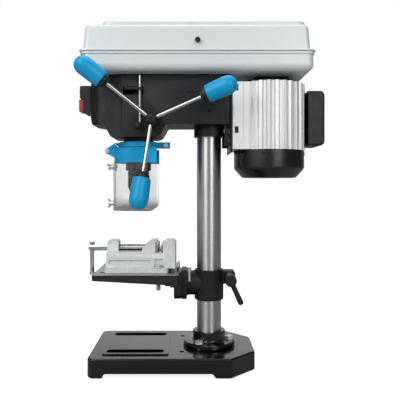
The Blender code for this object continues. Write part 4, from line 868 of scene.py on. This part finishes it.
# ---- feed shaft, hub and levers ----
def make_feed():
    root = Vector((FEED_X, -80.7, FEED_Z))
    tilt = math.radians(12)
    runs = []
    for i in range(3):
        angle = math.radians(22.2 + 120 * i)
        runs.append(Vector((math.cos(angle), 0, math.sin(angle))) * math.cos(tilt)
                + Vector((0, -math.sin(tilt), 0)))
    hub = lathe([(0, 90.5), (6.2, 90.5), (7.6, 89.9), (9.0, 88.8), (9.6, 87), (9.6, 74.4), (10.4, 72.6),
            (12, 70.6), (12, 51.6), (11.4, 50.8), (8.3, 50.8), (8.3, 68.3), (0, 68.3)], 72)
    hub = aimed(hub, (FEED_X, 0, FEED_Z), RIGHT)
    scale = 1 / math.cos(tilt)
    bosses = [rod(root + run * 2, root + run * 10.8 * scale, 5.6, 5.1, 40) for run in runs]
    sockets = [rod(root + run * 5.5 * scale, root + run * 30, 3.95, sides=40) for run in runs]
    sockets.append(aimed(hexagon(5, 88.6, 92, 0.05), (FEED_X, 0, FEED_Z), RIGHT))
    piece("feed_hub_casting", solid(hub, sockets, bosses, bevel=0.4, angle=50), "casting", "feed_hub")
    shaft = axle(FEED_X, FEED_Z, -68, 64, 8, 56)
    teeth = []
    for i in range(14):
        middle = math.pi + 2 * math.pi * i / 14
        teeth += [(9.1, middle - 0.172), (11.4, middle - 0.075), (11.55, middle - 0.05),
                (11.55, middle + 0.05), (11.4, middle + 0.075), (9.1, middle + 0.172)]
    gear = plate([(FEED_X + r * math.cos(a), FEED_Z + r * math.sin(a)) for r, a in teeth], -10.6, 10.6, "Y")
    piece("feed_pinion_shaft", solid(shaft, joins=[gear], bevel=0.1), "turned", "feed_shaft")
    for i, run in enumerate(runs):
        def at(reach):
            return root + run * (reach * scale)
        rod_shape = lathe([(0, 117.4), (2.6, 117.4), (3.0, 117), (3.15, 88), (3.3, 60), (3.6, 16), (3.6, 9),
                (3.3, 8.2), (3.3, 0.4), (0, 0.4)], 48)
        piece(f"lever_bar_{i + 1}", aimed(rod_shape, at(5.5), run), "lever_steel", f"lever_rod_{i + 1}")
        knob = [(0, 54.8), (3.6, 54.3), (7.2, 53.1), (10.6, 51.0), (13.3, 48.0), (15.1, 44.4), (16.2, 40.2),
                (16.5, 36), (16.5, 28), (16.3, 16), (15.9, 6), (15.5, 1.6), (14.9, 0.5), (13.9, 0.0),
                (0, 0.0)]
        piece(f"lever_knob_moulding_{i + 1}", aimed(lathe(knob, 72), at(105), run), "blue",
                f"lever_knob_{i + 1}")
        ferrule = [(0, 0.4), (11.9, 0.4), (12.4, -0.1), (12.4, -5.9), (11.9, -6.5), (9.8, -7.3), (9, -8),
                (9, -10.4), (8.4, -11), (3.9, -11), (3.9, -8), (0, -8)]
        piece(f"lever_ferrule_{i + 1}", aimed(lathe(ferrule, 64), at(105), run), "black_satin", body="feed")


def make_spring_cup():
    cup = [(19.6, 67), (21.6, 66.4), (22.4, 65), (22.4, 51.4), (21.8, 50.6), (20.2, 50.6), (20.2, 65),
            (8.4, 65), (8.4, 67)]
    notches = [spun(box((19, -2.2, 50), (24, 2.2, 54.5)), 90 * k) for k in range(4)]
    notches.append(box((11, -1.1, 64), (18, 1.1, 68)))
    piece("return_spring_cup", aimed(solid(lathe(cup, 96, True), notches, bevel=0.2), (FEED_X, 0, FEED_Z),
            LEFT), "black_oxide", "return_spring_cover")
    turns = []
    for k in range(3 * 40 + 1):
        a = 2 * math.pi * k / 40
        r = 10 + 3 * k / 40
        turns.append((r, a))
    inner = [(FEED_X + (r - 0.5) * math.cos(a), FEED_Z + (r - 0.5) * math.sin(a)) for r, a in turns]
    outer = [(FEED_X + (r + 0.5) * math.cos(a), FEED_Z + (r + 0.5) * math.sin(a)) for r, a in turns]
    piece("return_clock_spring", plate(inner + outer[::-1], 52, 63, "Y"), "turned", "return_spring")


# ---- depth stop, switch ----
def make_stop_and_switch():
    bar = merged(post(-126, -57, 452, 532.4, 1.95, 32), shift(thread(2.2, 0.2, 0.8, 447, 516), -126, -57))
    piece("depth_stop_bar", bar, "zinc_plate", "depth_stop_rod")
    boss = lathe([(0, 63), (4.6, 63), (6, 61.6), (6, 50.3), (0, 50.3)], 56)
    boss = solid(boss, [spun(box((5.3, -0.5, 55), (8, 0.5, 61)), 24 * k) for k in range(15)]
            + [box((-3.4, -0.5, 62), (3.4, 0.5, 65))])
    piece("depth_stop_boss", aimed(boss, (-130, 0, 443.5), RIGHT), "black_satin", body="head")
    arm = solid(plate(rounded([(-154, -61.5, 2), (-121, -61.5, 3), (-121, -51, 2), (-154, -51, 1)], 5), 506,
            511), [post(-126, -57, 490, 520, 2.5, 32)], bevel=0.5)
    piece("depth_stop_pointer", arm, "black_oxide", "depth_stop_arm")
    housing = rounded([(-220.3, 469), (-220.3, 520), (-241, 520, 3), (-241, 497, 1), (-235, 494, 1),
            (-235, 469, 3)], 4)
    buttons = (("start", 500, 516, -239, "green", "start_button"),
            ("stop", 473, 496, -244, "red", "stop_button"))
    cuts = [box((-260, -16.3, low - 0.3), (-228, 16.3, high + 0.3)) for _, low, high, *_ in buttons]
    piece("switch_case", solid(plate(housing, -23, 23, "Y"), cuts, bevel=0.7), "black_satin",
            "switch_housing")
    for name, low, high, front, finish, node in buttons:
        key = solid(box((front, -16, low), (-231.5, 16, high)), bevel=1.4, segments=3)
        dish = solid(key, [aimed(lathe([(0, 30), (40, 30), (40, 22), (18, 1.0), (0, 0)], 64),
                (front + 0.9, 0, (low + high) / 2), FRONT)] if name == "stop" else [])
        piece(f"{name}_key", dish, finish, node)
    places = [(x, y, z) for x, z in ((-241, 508), (-235, 484)) for y in (-19.6, 19.6)]
    screws("switch_screw", places, FRONT, 1.9, 0.8)


# ---- chuck guard ----
def u_wall(outer, inner, back=-97.0, steps=48):
    turns = [math.radians(90 + 180 * k / steps) for k in range(steps + 1)]
    arc = [(GUARD_X + math.cos(t) * outer, math.sin(t) * outer) for t in turns]
    hollow = [(GUARD_X + math.cos(t) * inner, math.sin(t) * inner) for t in reversed(turns)]
    return [(back, outer)] + arc + [(back, -outer), (back, -inner)] + hollow + [(back, inner)]


def make_guard():
    ring = lathe([(0, 416), (35.8, 416), (37, 414.8), (37, 406.4), (35.8, 405.2), (0, 405.2)], 96)
    arm = rounded([(-164, 416), (-178, 414, 3), (-195, 403, 3), (-195, 394, 3), (-186, 394, 2),
            (-183, 405.2, 2), (-164, 405.2)], 5)
    ear = box((-102, -8, 405.2), (-74, 8, 416))
    cuts = [post(SPINDLE_X, 0, 400, 420, 28.8, 96), box((-120, -1.2, 400), (-70, 1.2, 420)),
            axle(-82, 410.6, -20, 20, 2.8, 28), axle(PIVOT_X, PIVOT_Z, -30, 30, 2.6, 28)]
    cuts += [aimed(lathe([(0, 1), (5.4, 1), (5.4, -1.2), (0, -1.2)], 32), (-82, -8, 410.6), RIGHT)]
    guard_ring = solid(shift(ring, SPINDLE_X), cuts, [plate(arm, -10, 10, "Y"), ear], bevel=0.7, segments=3,
            angle=50)
    piece("guard_clamp_ring", guard_ring, "blue", "guard_ring")
    screw = merged(solid(lathe([(0, 3.4), (3.9, 3.4), (4.6, 2.8), (4.6, 0), (0, 0)], 40),
            [hexagon(4, 1.4, 5, 0.05)]), lathe([(0, 0.2), (2.35, 0.2), (2.35, -15), (0, -15)], 24))
    piece("guard_clamp_bolt", aimed(screw, (-82, -8.3, 410.6), RIGHT), "zinc_plate", "guard_clamp_screw")

    band = plate(u_wall(40.5, 38.0), 377, 404.5)
    lug = rounded([(-176.5, 402), (-190, 404.6, 5), (-195.3, 399, 3), (-190, 393.4, 5), (-176.5, 386)], 5)
    rim = plate(u_wall(41.4, 38.0), 377, 379.6)
    rib = plate(u_wall(41.2, 38.0), 401.8, 404.5)
    joins = [plate(lug, y, y + 5, "Y") for y in (-15.5, 10.5)] + [box((-178.2, -7, 362), (-176.4, 7, 380)),
            rim, rib]
    cuts = [axle(PIVOT_X, PIVOT_Z, -30, 30, 2.6, 28), along_x(0, 370, -170, -185, 2.4, 28)]
    band = solid(band, cuts, joins, bevel=0.45, angle=50)
    piece("guard_band_moulding", band, "blue", "guard_band")
    pin = lathe([(0, 19), (3.4, 19), (4.4, 18), (4.4, 16.4), (3.8, 16), (2.3, 16), (2.3, -17), (0, -17)],
            40)
    piece("guard_pin", aimed(pin, (PIVOT_X, 0, PIVOT_Z), RIGHT), "zinc_plate", "guard_hinge_pin")
    clip = solid(rod((-177.5, -12, 414), (-169.5, -17, 405.8), 1.5, sides=32), bevel=0.3)
    piece("guard_catch_pin", clip, "bright", body=BODY_OF["guard_ring"])
    spring = []
    for k in range(5 * 20 + 1):
        a = 2 * math.pi * k / 20
        spring.append((PIVOT_X + 3.4 * math.cos(a), -10 + 20 * k / 100, PIVOT_Z + 3.4 * math.sin(a)))
    piece("guard_torsion_spring", swept(spring, 0.55, 8), "bright", body="head")


def make_shield():
    shield = plate(u_wall(42.4, 40.9, steps=64), 288, 376.7)
    # its lower back corners are rounded, and it has a bolt hole for each wing screw
    turns = [math.radians(9 * k) for k in range(11)]
    corner = [(-96, 287), (-111, 287)] + [(-111 + 14 * math.sin(t), 302 - 14 * math.cos(t)) for t in turns]
    corners = [plate(corner + [(-96, 302)], y, y + 20, "Y") for y in (-50, 30)]
    holes = [along_x(0, z, -170, -190, 2.4, 24) for z in WING_HEIGHTS]
    shield = solid(shield, corners + holes)
    piece("guard_clear_shield", shield, "clear", "guard_shield", angle=30)
    stay = solid(plate(rounded([(-7, 293, 3), (7, 293, 3), (7, 376), (-7, 376)], 5), -179.9, -178.3, "X"),
            [along_x(0, z, -170, -190, 2.4, 24) for z in WING_HEIGHTS], bevel=0.25)
    piece("guard_stay", stay, "zinc_plate", body="guard")
    for i, (z, spread) in enumerate(zip(WING_HEIGHTS, (60, 0))):
        hub = lathe([(0, 8.5), (3.2, 8.5), (3.8, 7.8), (4.6, 1), (4.6, 0), (2.1, 0), (2.1, -8), (0, -8)],
                36)
        blade = rounded([(-184, -3.5, 2), (-190, -9.5, 2.6), (-193.5, -9, 1.4), (-189, 0, 2),
                (-193.5, 9, 1.4), (-190, 9.5, 2.6), (-184, 3.5, 2)], 5)
        blade = plate(blade, -1.1, 1.1)
        wing = solid(aimed(hub, (-182, 0, 0), FRONT), joins=[spun(blade, 90, "X")], bevel=0.3, angle=45)
        wing = shift(spun(wing, spread, "X"), 0, 0, z)
        washer = shift(aimed(tube(5.8, 2.2, 0, 0.9, 32, 0.15), (-181.1, 0, 0), FRONT), 0, 0, z)
        piece(f"wing_bolt_{i + 1}", merged(wing, washer), "zinc_plate", f"wing_screw_{i + 1}")


# ---- belt cover, pulleys and belt ----
def drafted(low, high, inset, width, segments=8):
    """A box whose top is smaller than its bottom by inset all round, with rounded edges."""
    mesh = box(low, high)
    for vert in mesh.vertices:
        if vert.co.z > (low[2] + high[2]) / 2 * MM:
            for i in range(2):
                vert.co[i] -= math.copysign(inset * MM, vert.co[i] - (low[i] + high[i]) / 2 * MM)
    return solid(mesh, bevel=width, segments=segments)


def make_cover():
    wall, lip_reach = 1.8, 2.4
    front, back, side = COVER_FRONT + lip_reach, COVER_BACK - lip_reach, COVER_SIDE - lip_reach
    rim = rounded(rectangle(COVER_FRONT, COVER_BACK, -COVER_SIDE, COVER_SIDE, 14), 10)
    tray = solid(drafted((front, -side, 536.3), (back, side, 592), -2.5, 13),
            [box((-300, -120, 567), (300, 120, 600))])
    inside = drafted((front + wall, -side + wall, 538.1), (back - wall, side - wall, 592), -2.5, 12)
    recessed = rounded(rectangle(-229.4, 183.5, -83, 83, 12), 10)
    lip = solid(plate(recessed, SEAM - 4.6, SEAM - 0.3), bevel=0.5, segments=3)
    knuckles = [box((x, 82, 564), (x + 22, 89.9, 568.5)) for x in (-150, 90)]
    knuckles += [along_x(HINGE_Y, HINGE_Z, x, x + 22, 3.4, 32) for x in (-150, 90)]
    floor_cuts = [inside, post(SPINDLE_X, 0, 500, 560, 27, 96), slab(83.5, 149.5, -26, 26, 12, 8, 500, 560)]
    tray = solid(tray, floor_cuts, [lip] + knuckles, bevel=0.3, angle=55)
    piece("cover_tray_sheet", tray, "powder", "belt_tray")
    places = [(x, y * side, 538.1) for x, y in ((-75, 40), (20, 40), (-185, 22)) for side in (-1, 1)]
    screws("tray_screw", places, UP, 4.2, 2.2, "zinc_plate")

    lid = solid(drafted((-225.5, -79.5, 556), (177.5, 79.5, 620), 4, 9),
            [box((-300, -120, 500), (300, 120, 571))])
    panel = solid(slab(-193, 170, -69, 69, 16, 10, 605, 627), bevel=3.4, segments=6)
    lip = solid(plate(rim, SEAM, SEAM + 3), bevel=0.9, segments=3)
    inside = drafted((-223.7, -77.7, 554), (175.7, 77.7, 618.2), 4, 8)
    under = slab(-191, 168, -67, 67, 14, 8, 600, 625.2)
    arms = [box((x, 77, 571.5), (x + 23, 88, 573.5)) for x in (-127, 66)]
    arms += [along_x(HINGE_Y, HINGE_Z, x, x + 23, 3.4, 32) for x in (-127, 66)]
    lid = solid(solid(lid, joins=[panel], bevel=0.9, segments=3, angle=30), [inside, under], [lip] + arms)
    piece("cover_lid_sheet", lid, "powder", "cover_lid")


def make_cover_details():
    for i, x in enumerate((-150, 90)):
        leaf = solid(slab(x - 1, x + 40, 560, 566.3, 2, 5, 84.6, 85.5, "Y"), bevel=0.2)
        piece(f"hinge_leaf_{i + 1}", leaf, "zinc_plate", body="head")
    knob = lathe([(0, 4.6), (3.4, 4.6), (4.4, 3.8), (4.6, 3), (4.6, 0.4), (4.2, 0), (4.2, -1.6), (2, -1.8),
            (2, -8), (0, -8)], 48)
    grip = [spun(box((4.2, -0.3, -0.2), (5, 0.3, 3.4)), 20 * k) for k in range(18)]
    screw = solid(knob, grip + [box((-3.2, -0.5, 3.5), (3.2, 0.5, 6))])
    piece("lid_lock_knob", aimed(screw, (-22.5, -79.2, 590), RIGHT), "black_satin", "lid_lock_screw")


def pulley(radii, bore, low, flip):
    """A cone pulley with a vee groove in every step, hollow from its wide end."""
    outline = []
    for i in reversed(range(5)):
        r, z = radii[i], PULLEY_LOW + STEP * i
        outline += [(r, z + STEP - (0.4 if i == 4 else 0)), (r, z + 9.6), (r - 5, z + 7.5),
                (r - 5, z + 3.9), (r, z + 1.8), (r, z)]
    hollow = []
    for i in (range(4) if flip else range(1, 5)):
        z = PULLEY_LOW + STEP * i
        hollow += [(radii[i] - 11, z), (radii[i] - 11, z + STEP)]
    if flip:
        return outline + hollow + [(13.5, hollow[-1][1]), (13.5, low), (bore, low), (bore, 606)]
    return outline + [(13.5, PULLEY_LOW), (13.5, low), (bore, low), (bore, 606), (13.5, 606),
            (13.5, hollow[0][1])] + hollow


def make_drive():
    radii = PULLEY_RADII
    piece("spindle_cone_pulley", shift(solid(lathe(pulley(radii, 8.4, 526, False), 96, True), bevel=0.25),
            SPINDLE_X), "diecast", "spindle_pulley")
    piece("motor_cone_pulley", shift(solid(lathe(pulley(radii[::-1], 7.3, 543, True), 96, True),
            bevel=0.25), MOTOR_X), "diecast", "motor_pulley")
    for x, body in ((SPINDLE_X, "pulley"), (MOTOR_X, "rotor")):
        screw = solid(lathe([(0, 0), (2.6, 0), (2.6, -3), (0, -3)], 24), [hexagon(2.5, -1.5, 1, 0.05)])
        name = "spindle" if x < 0 else "motor"
        piece(f"{name}_pulley_set_screw", aimed(screw, (x, -13.3, 546), RIGHT), "black_oxide", body=body)


def make_belt():
    loops = []
    for radius in (43.6, 39.4):
        front = [(SPINDLE_X + radius * math.cos(t), radius * math.sin(t))
                for t in (math.radians(90 + 5 * k) for k in range(37))]
        back = [(BELT_BACK_X + radius * math.cos(t), radius * math.sin(t))
                for t in (math.radians(-90 + 5 * k) for k in range(37))]
        loops.append(front + back)
    outer, inner = loops
    n = len(outer)
    points, faces = [], []
    for (ax, ay), (bx, by) in zip(outer, inner):
        points += [(ax, ay, 573.95), (ax, ay, 581.05), (bx, by, 579.25), (bx, by, 575.75)]
    for i in range(n):
        j = (i + 1) % n
        for k in range(4):
            m = (k + 1) % 4
            faces.append((4 * i + k, 4 * i + m, 4 * j + m, 4 * j + k))
    belt = raw(points, faces)
    notches = []
    for i in range(60):
        x = SPINDLE_X + (BELT_BACK_X - SPINDLE_X) * (i + 0.5) / 60
        for y in (-39.3, 39.3):
            notches.append(box((x - 0.8, y - 1.0, 570), (x + 0.8, y + 1.0, 585)))
    belt = solid(belt, [merged(*notches)])
    piece("drive_v_belt", belt, "belt_rubber", "v_belt")


def make_bearings():
    ball = merged(tube(26, 20.5, 524.4, 535.7, 96, 0.4), tube(18.4, 14, 524.4, 535.7, 72, 0.4),
            tube(20.4, 18.5, 525.4, 534.7, 72))
    piece("pulley_ball_bearing", shift(ball, SPINDLE_X), "turned", "pulley_bearing")
    ball = merged(tube(15, 12.6, 405, 416, 72, 0.3), tube(10.6, 8.3, 405, 416, 56, 0.3),
            tube(12.5, 10.7, 405.6, 415.4, 56))
    piece("quill_ball_bearing", shift(ball, SPINDLE_X), "turned", "quill_bearing")


# ---- motor ----
def make_motor_housing():
    outline = []
    fins = 28
    for i in range(fins):
        for radius, turn in ((66.3, 0.0), (67, 0.05), (67, 0.40), (66.3, 0.45), (63.6, 0.58), (63, 0.64),
                (63, 0.81), (63.6, 0.87)):
            angle = 2 * math.pi * (i + turn + 0.13) / fins
            outline.append((MOTOR_X + radius * math.cos(angle), radius * math.sin(angle)))
    block = solid(plate(rounded([(40.7, -52, 2.5), (74, -52), (74, 52), (40.7, 52, 2.5)], 5), 400.5, 522.5),
            bevel=0.5)
    end = shift(lathe([(0, 535), (22, 535), (23.4, 534.4), (24, 533), (24, 525.5), (25.5, 523.6), (27, 523),
            (27, 517), (0, 517)], 96), MOTOR_X)
    cuts = [post(MOTOR_X, 0, 390, 515, 58.4, 96), post(MOTOR_X, 0, 505, 560, 12, 56)]
    for z in (435.5, 512):
        for y in (-1, 1):
            low, high = sorted((44 * y, 60 * y))
            cuts.append(slab(44.5, 51.5, z - 6, z + 6, 0.8, 4, low, high, "Y"))
            nut = solid(box((45, min(46 * y, 50.6 * y), z - 5.5), (51, max(46 * y, 50.6 * y), z + 5.5)),
                    bevel=0.6)
            piece(f"motor_side_nut_{int(z)}_{'right' if y < 0 else 'left'}", nut, "black_satin",
                    body="motor")
    for x in (60.5, 71.5):
        for y in (-1, 1):
            low, high = sorted((50.8 * y, 60 * y))
            cuts.append(box((x - 0.7, low, 390), (x + 0.7, high, 540)))
    housing = solid(plate(outline, 400, 523), cuts, [block, end])
    piece("motor_finned_housing", housing, "extruded", "motor_housing", angle=30)
    for i, (x, y) in enumerate(around(MOTOR_X, 0, 46, 4, 45)):
        bolt = merged(tube(5, 2.4, 523, 523.8, 32, 0.1), hexagon(7, 523.8, 527, 0.4))
        piece(f"motor_tie_bolt_{i + 1}", shift(bolt, x, y), "zinc_plate", body="motor")


def make_fan_cover():
    cover = [(66, 399.7), (66, 369), (65.2, 366.4), (62.8, 363.0), (51.6, 350.7), (49.4, 349.4), (47, 349),
            (12, 349), (12, 352), (46, 352), (48, 353.2), (62.4, 367.5), (63.4, 370), (63.4, 399.7)]
    slots = []
    for radius, number, half in ((20, 8, 5), (32, 12, 5.4), (42.5, 18, 4.2)):
        for i in range(number):
            slot = slab(radius - half, radius + half, -2.2, 2.2, 2.1, 5, 340, 360)
            slots.append(spun(slot, 360 * i / number))
    for i in range(4):
        slots.append(spun(along_x(0, 393.4, 60, 70, 2.2, 24), -106 + 90 * i))
    fan_cover = solid(lathe(cover, 128, True), slots, bevel=0.25, angle=50)
    piece("motor_fan_cowl", shift(fan_cover, MOTOR_X), "black_gloss", "fan_cover")
    for i in range(4):
        screw = cap_screw((65.4, 0, 393.4), BACK, 3.6, 1.6)
        piece(f"fan_cowl_screw_{i + 1}", shift(spun(screw, -106 + 90 * i), MOTOR_X), "black_oxide",
                body="motor")


def make_stator_and_rotor():
    piece("stator_pack", shift(tube(57.4, 36, 437, 485, 96, 0.4), MOTOR_X), "black_oxide", "motor_stator")
    blades = []
    for k in range(9):
        blades.append(spun(box((12, -0.8, 374), (58, 0.8, 390)), 40 * k))
    shaft = lathe([(0, 604), (6.4, 604), (7, 603.4), (7, 484), (35, 484), (35, 438), (7, 438), (7, 388),
            (20, 388), (20, 372), (0, 372)], 64)
    piece("rotor_and_fan", shift(merged(shaft, *blades), MOTOR_X), "turned", "motor_rotor")


def make_capacitor():
    side = rounded([(172, 408), (211.6, 408, 9), (211.6, 509, 9), (172, 509)], 8)
    capacitor = solid(solid(plate(side, -36, 36, "Y"), bevel=4.2, segments=5, angle=50),
            [box((160, -50, 400), (181.2, 50, 520)), box((176, -33, 412), (208, 33, 505))])
    piece("capacitor_case", capacitor, "black_satin", "capacitor_box")
    places = [(211.2, y, z) for z in (417, 500) for y in (-27, 27)]
    screws("capacitor_screw", places, BACK, 2.6, 0.4, body="motor")


def make_motor_mount():
    joins = [along_x(y, SLIDE_Z, -20, 39, 6, 48) for y in SLIDE_SIDES]
    joins += [box((27, y - 7, 408), (39, y + 7, 438)) for y in SLIDE_SIDES]
    bell = lathe([(27.5, 523), (27.5, 530), (47, 530), (50.4, 529), (52.4, 526.6), (53, 523)], 96, True)
    piece("motor_end_bell", shift(solid(bell, bevel=0.3), MOTOR_X), "black_satin", body="motor")
    bolt = merged(along_x(0, 0, 30, 47, 2.6, 28), aimed(hexagon(8, 0, 4.4), (43, 0, 0), BACK),
            aimed(tube(5.6, 2.7, 0, 1.0, 32, 0.15), (42, 0, 0), BACK))
    piece("belt_tension_screw", shift(bolt, 0, -42, 529.4), "bright", body="head")
    mount = solid(slab(-50, 50, 395, 522, 6, 6, 37.4, 40.4, "X"), joins=joins, bevel=0.6, angle=50)
    piece("motor_mount_plate", mount, "casting", "motor_plate")
    for i, z in enumerate((415, 431)):
        for y in (-1, 1):
            bolt = merged(tube(4.8, 2.2, 0, 0.8, 32, 0.1), hexagon(7, 0.8, 4, 0.4))
            name = f"motor_bracket_bolt_{i + 1}_{'right' if y < 0 else 'left'}"
            piece(name, aimed(bolt, (33, 45 * y, z), (0, y, 0)), "black_oxide", body="motor")


for make in (make_base, make_flange_and_column, make_bracket, make_lock_lever, make_table, make_vise,
        make_vise_screw, make_head, make_quill, make_chuck, make_feed, make_spring_cup,
        make_stop_and_switch, make_guard, make_shield, make_cover, make_cover_details, make_drive,
        make_belt, make_bearings, make_motor_housing, make_fan_cover, make_stator_and_rotor, make_capacitor,
        make_motor_mount):
    make()
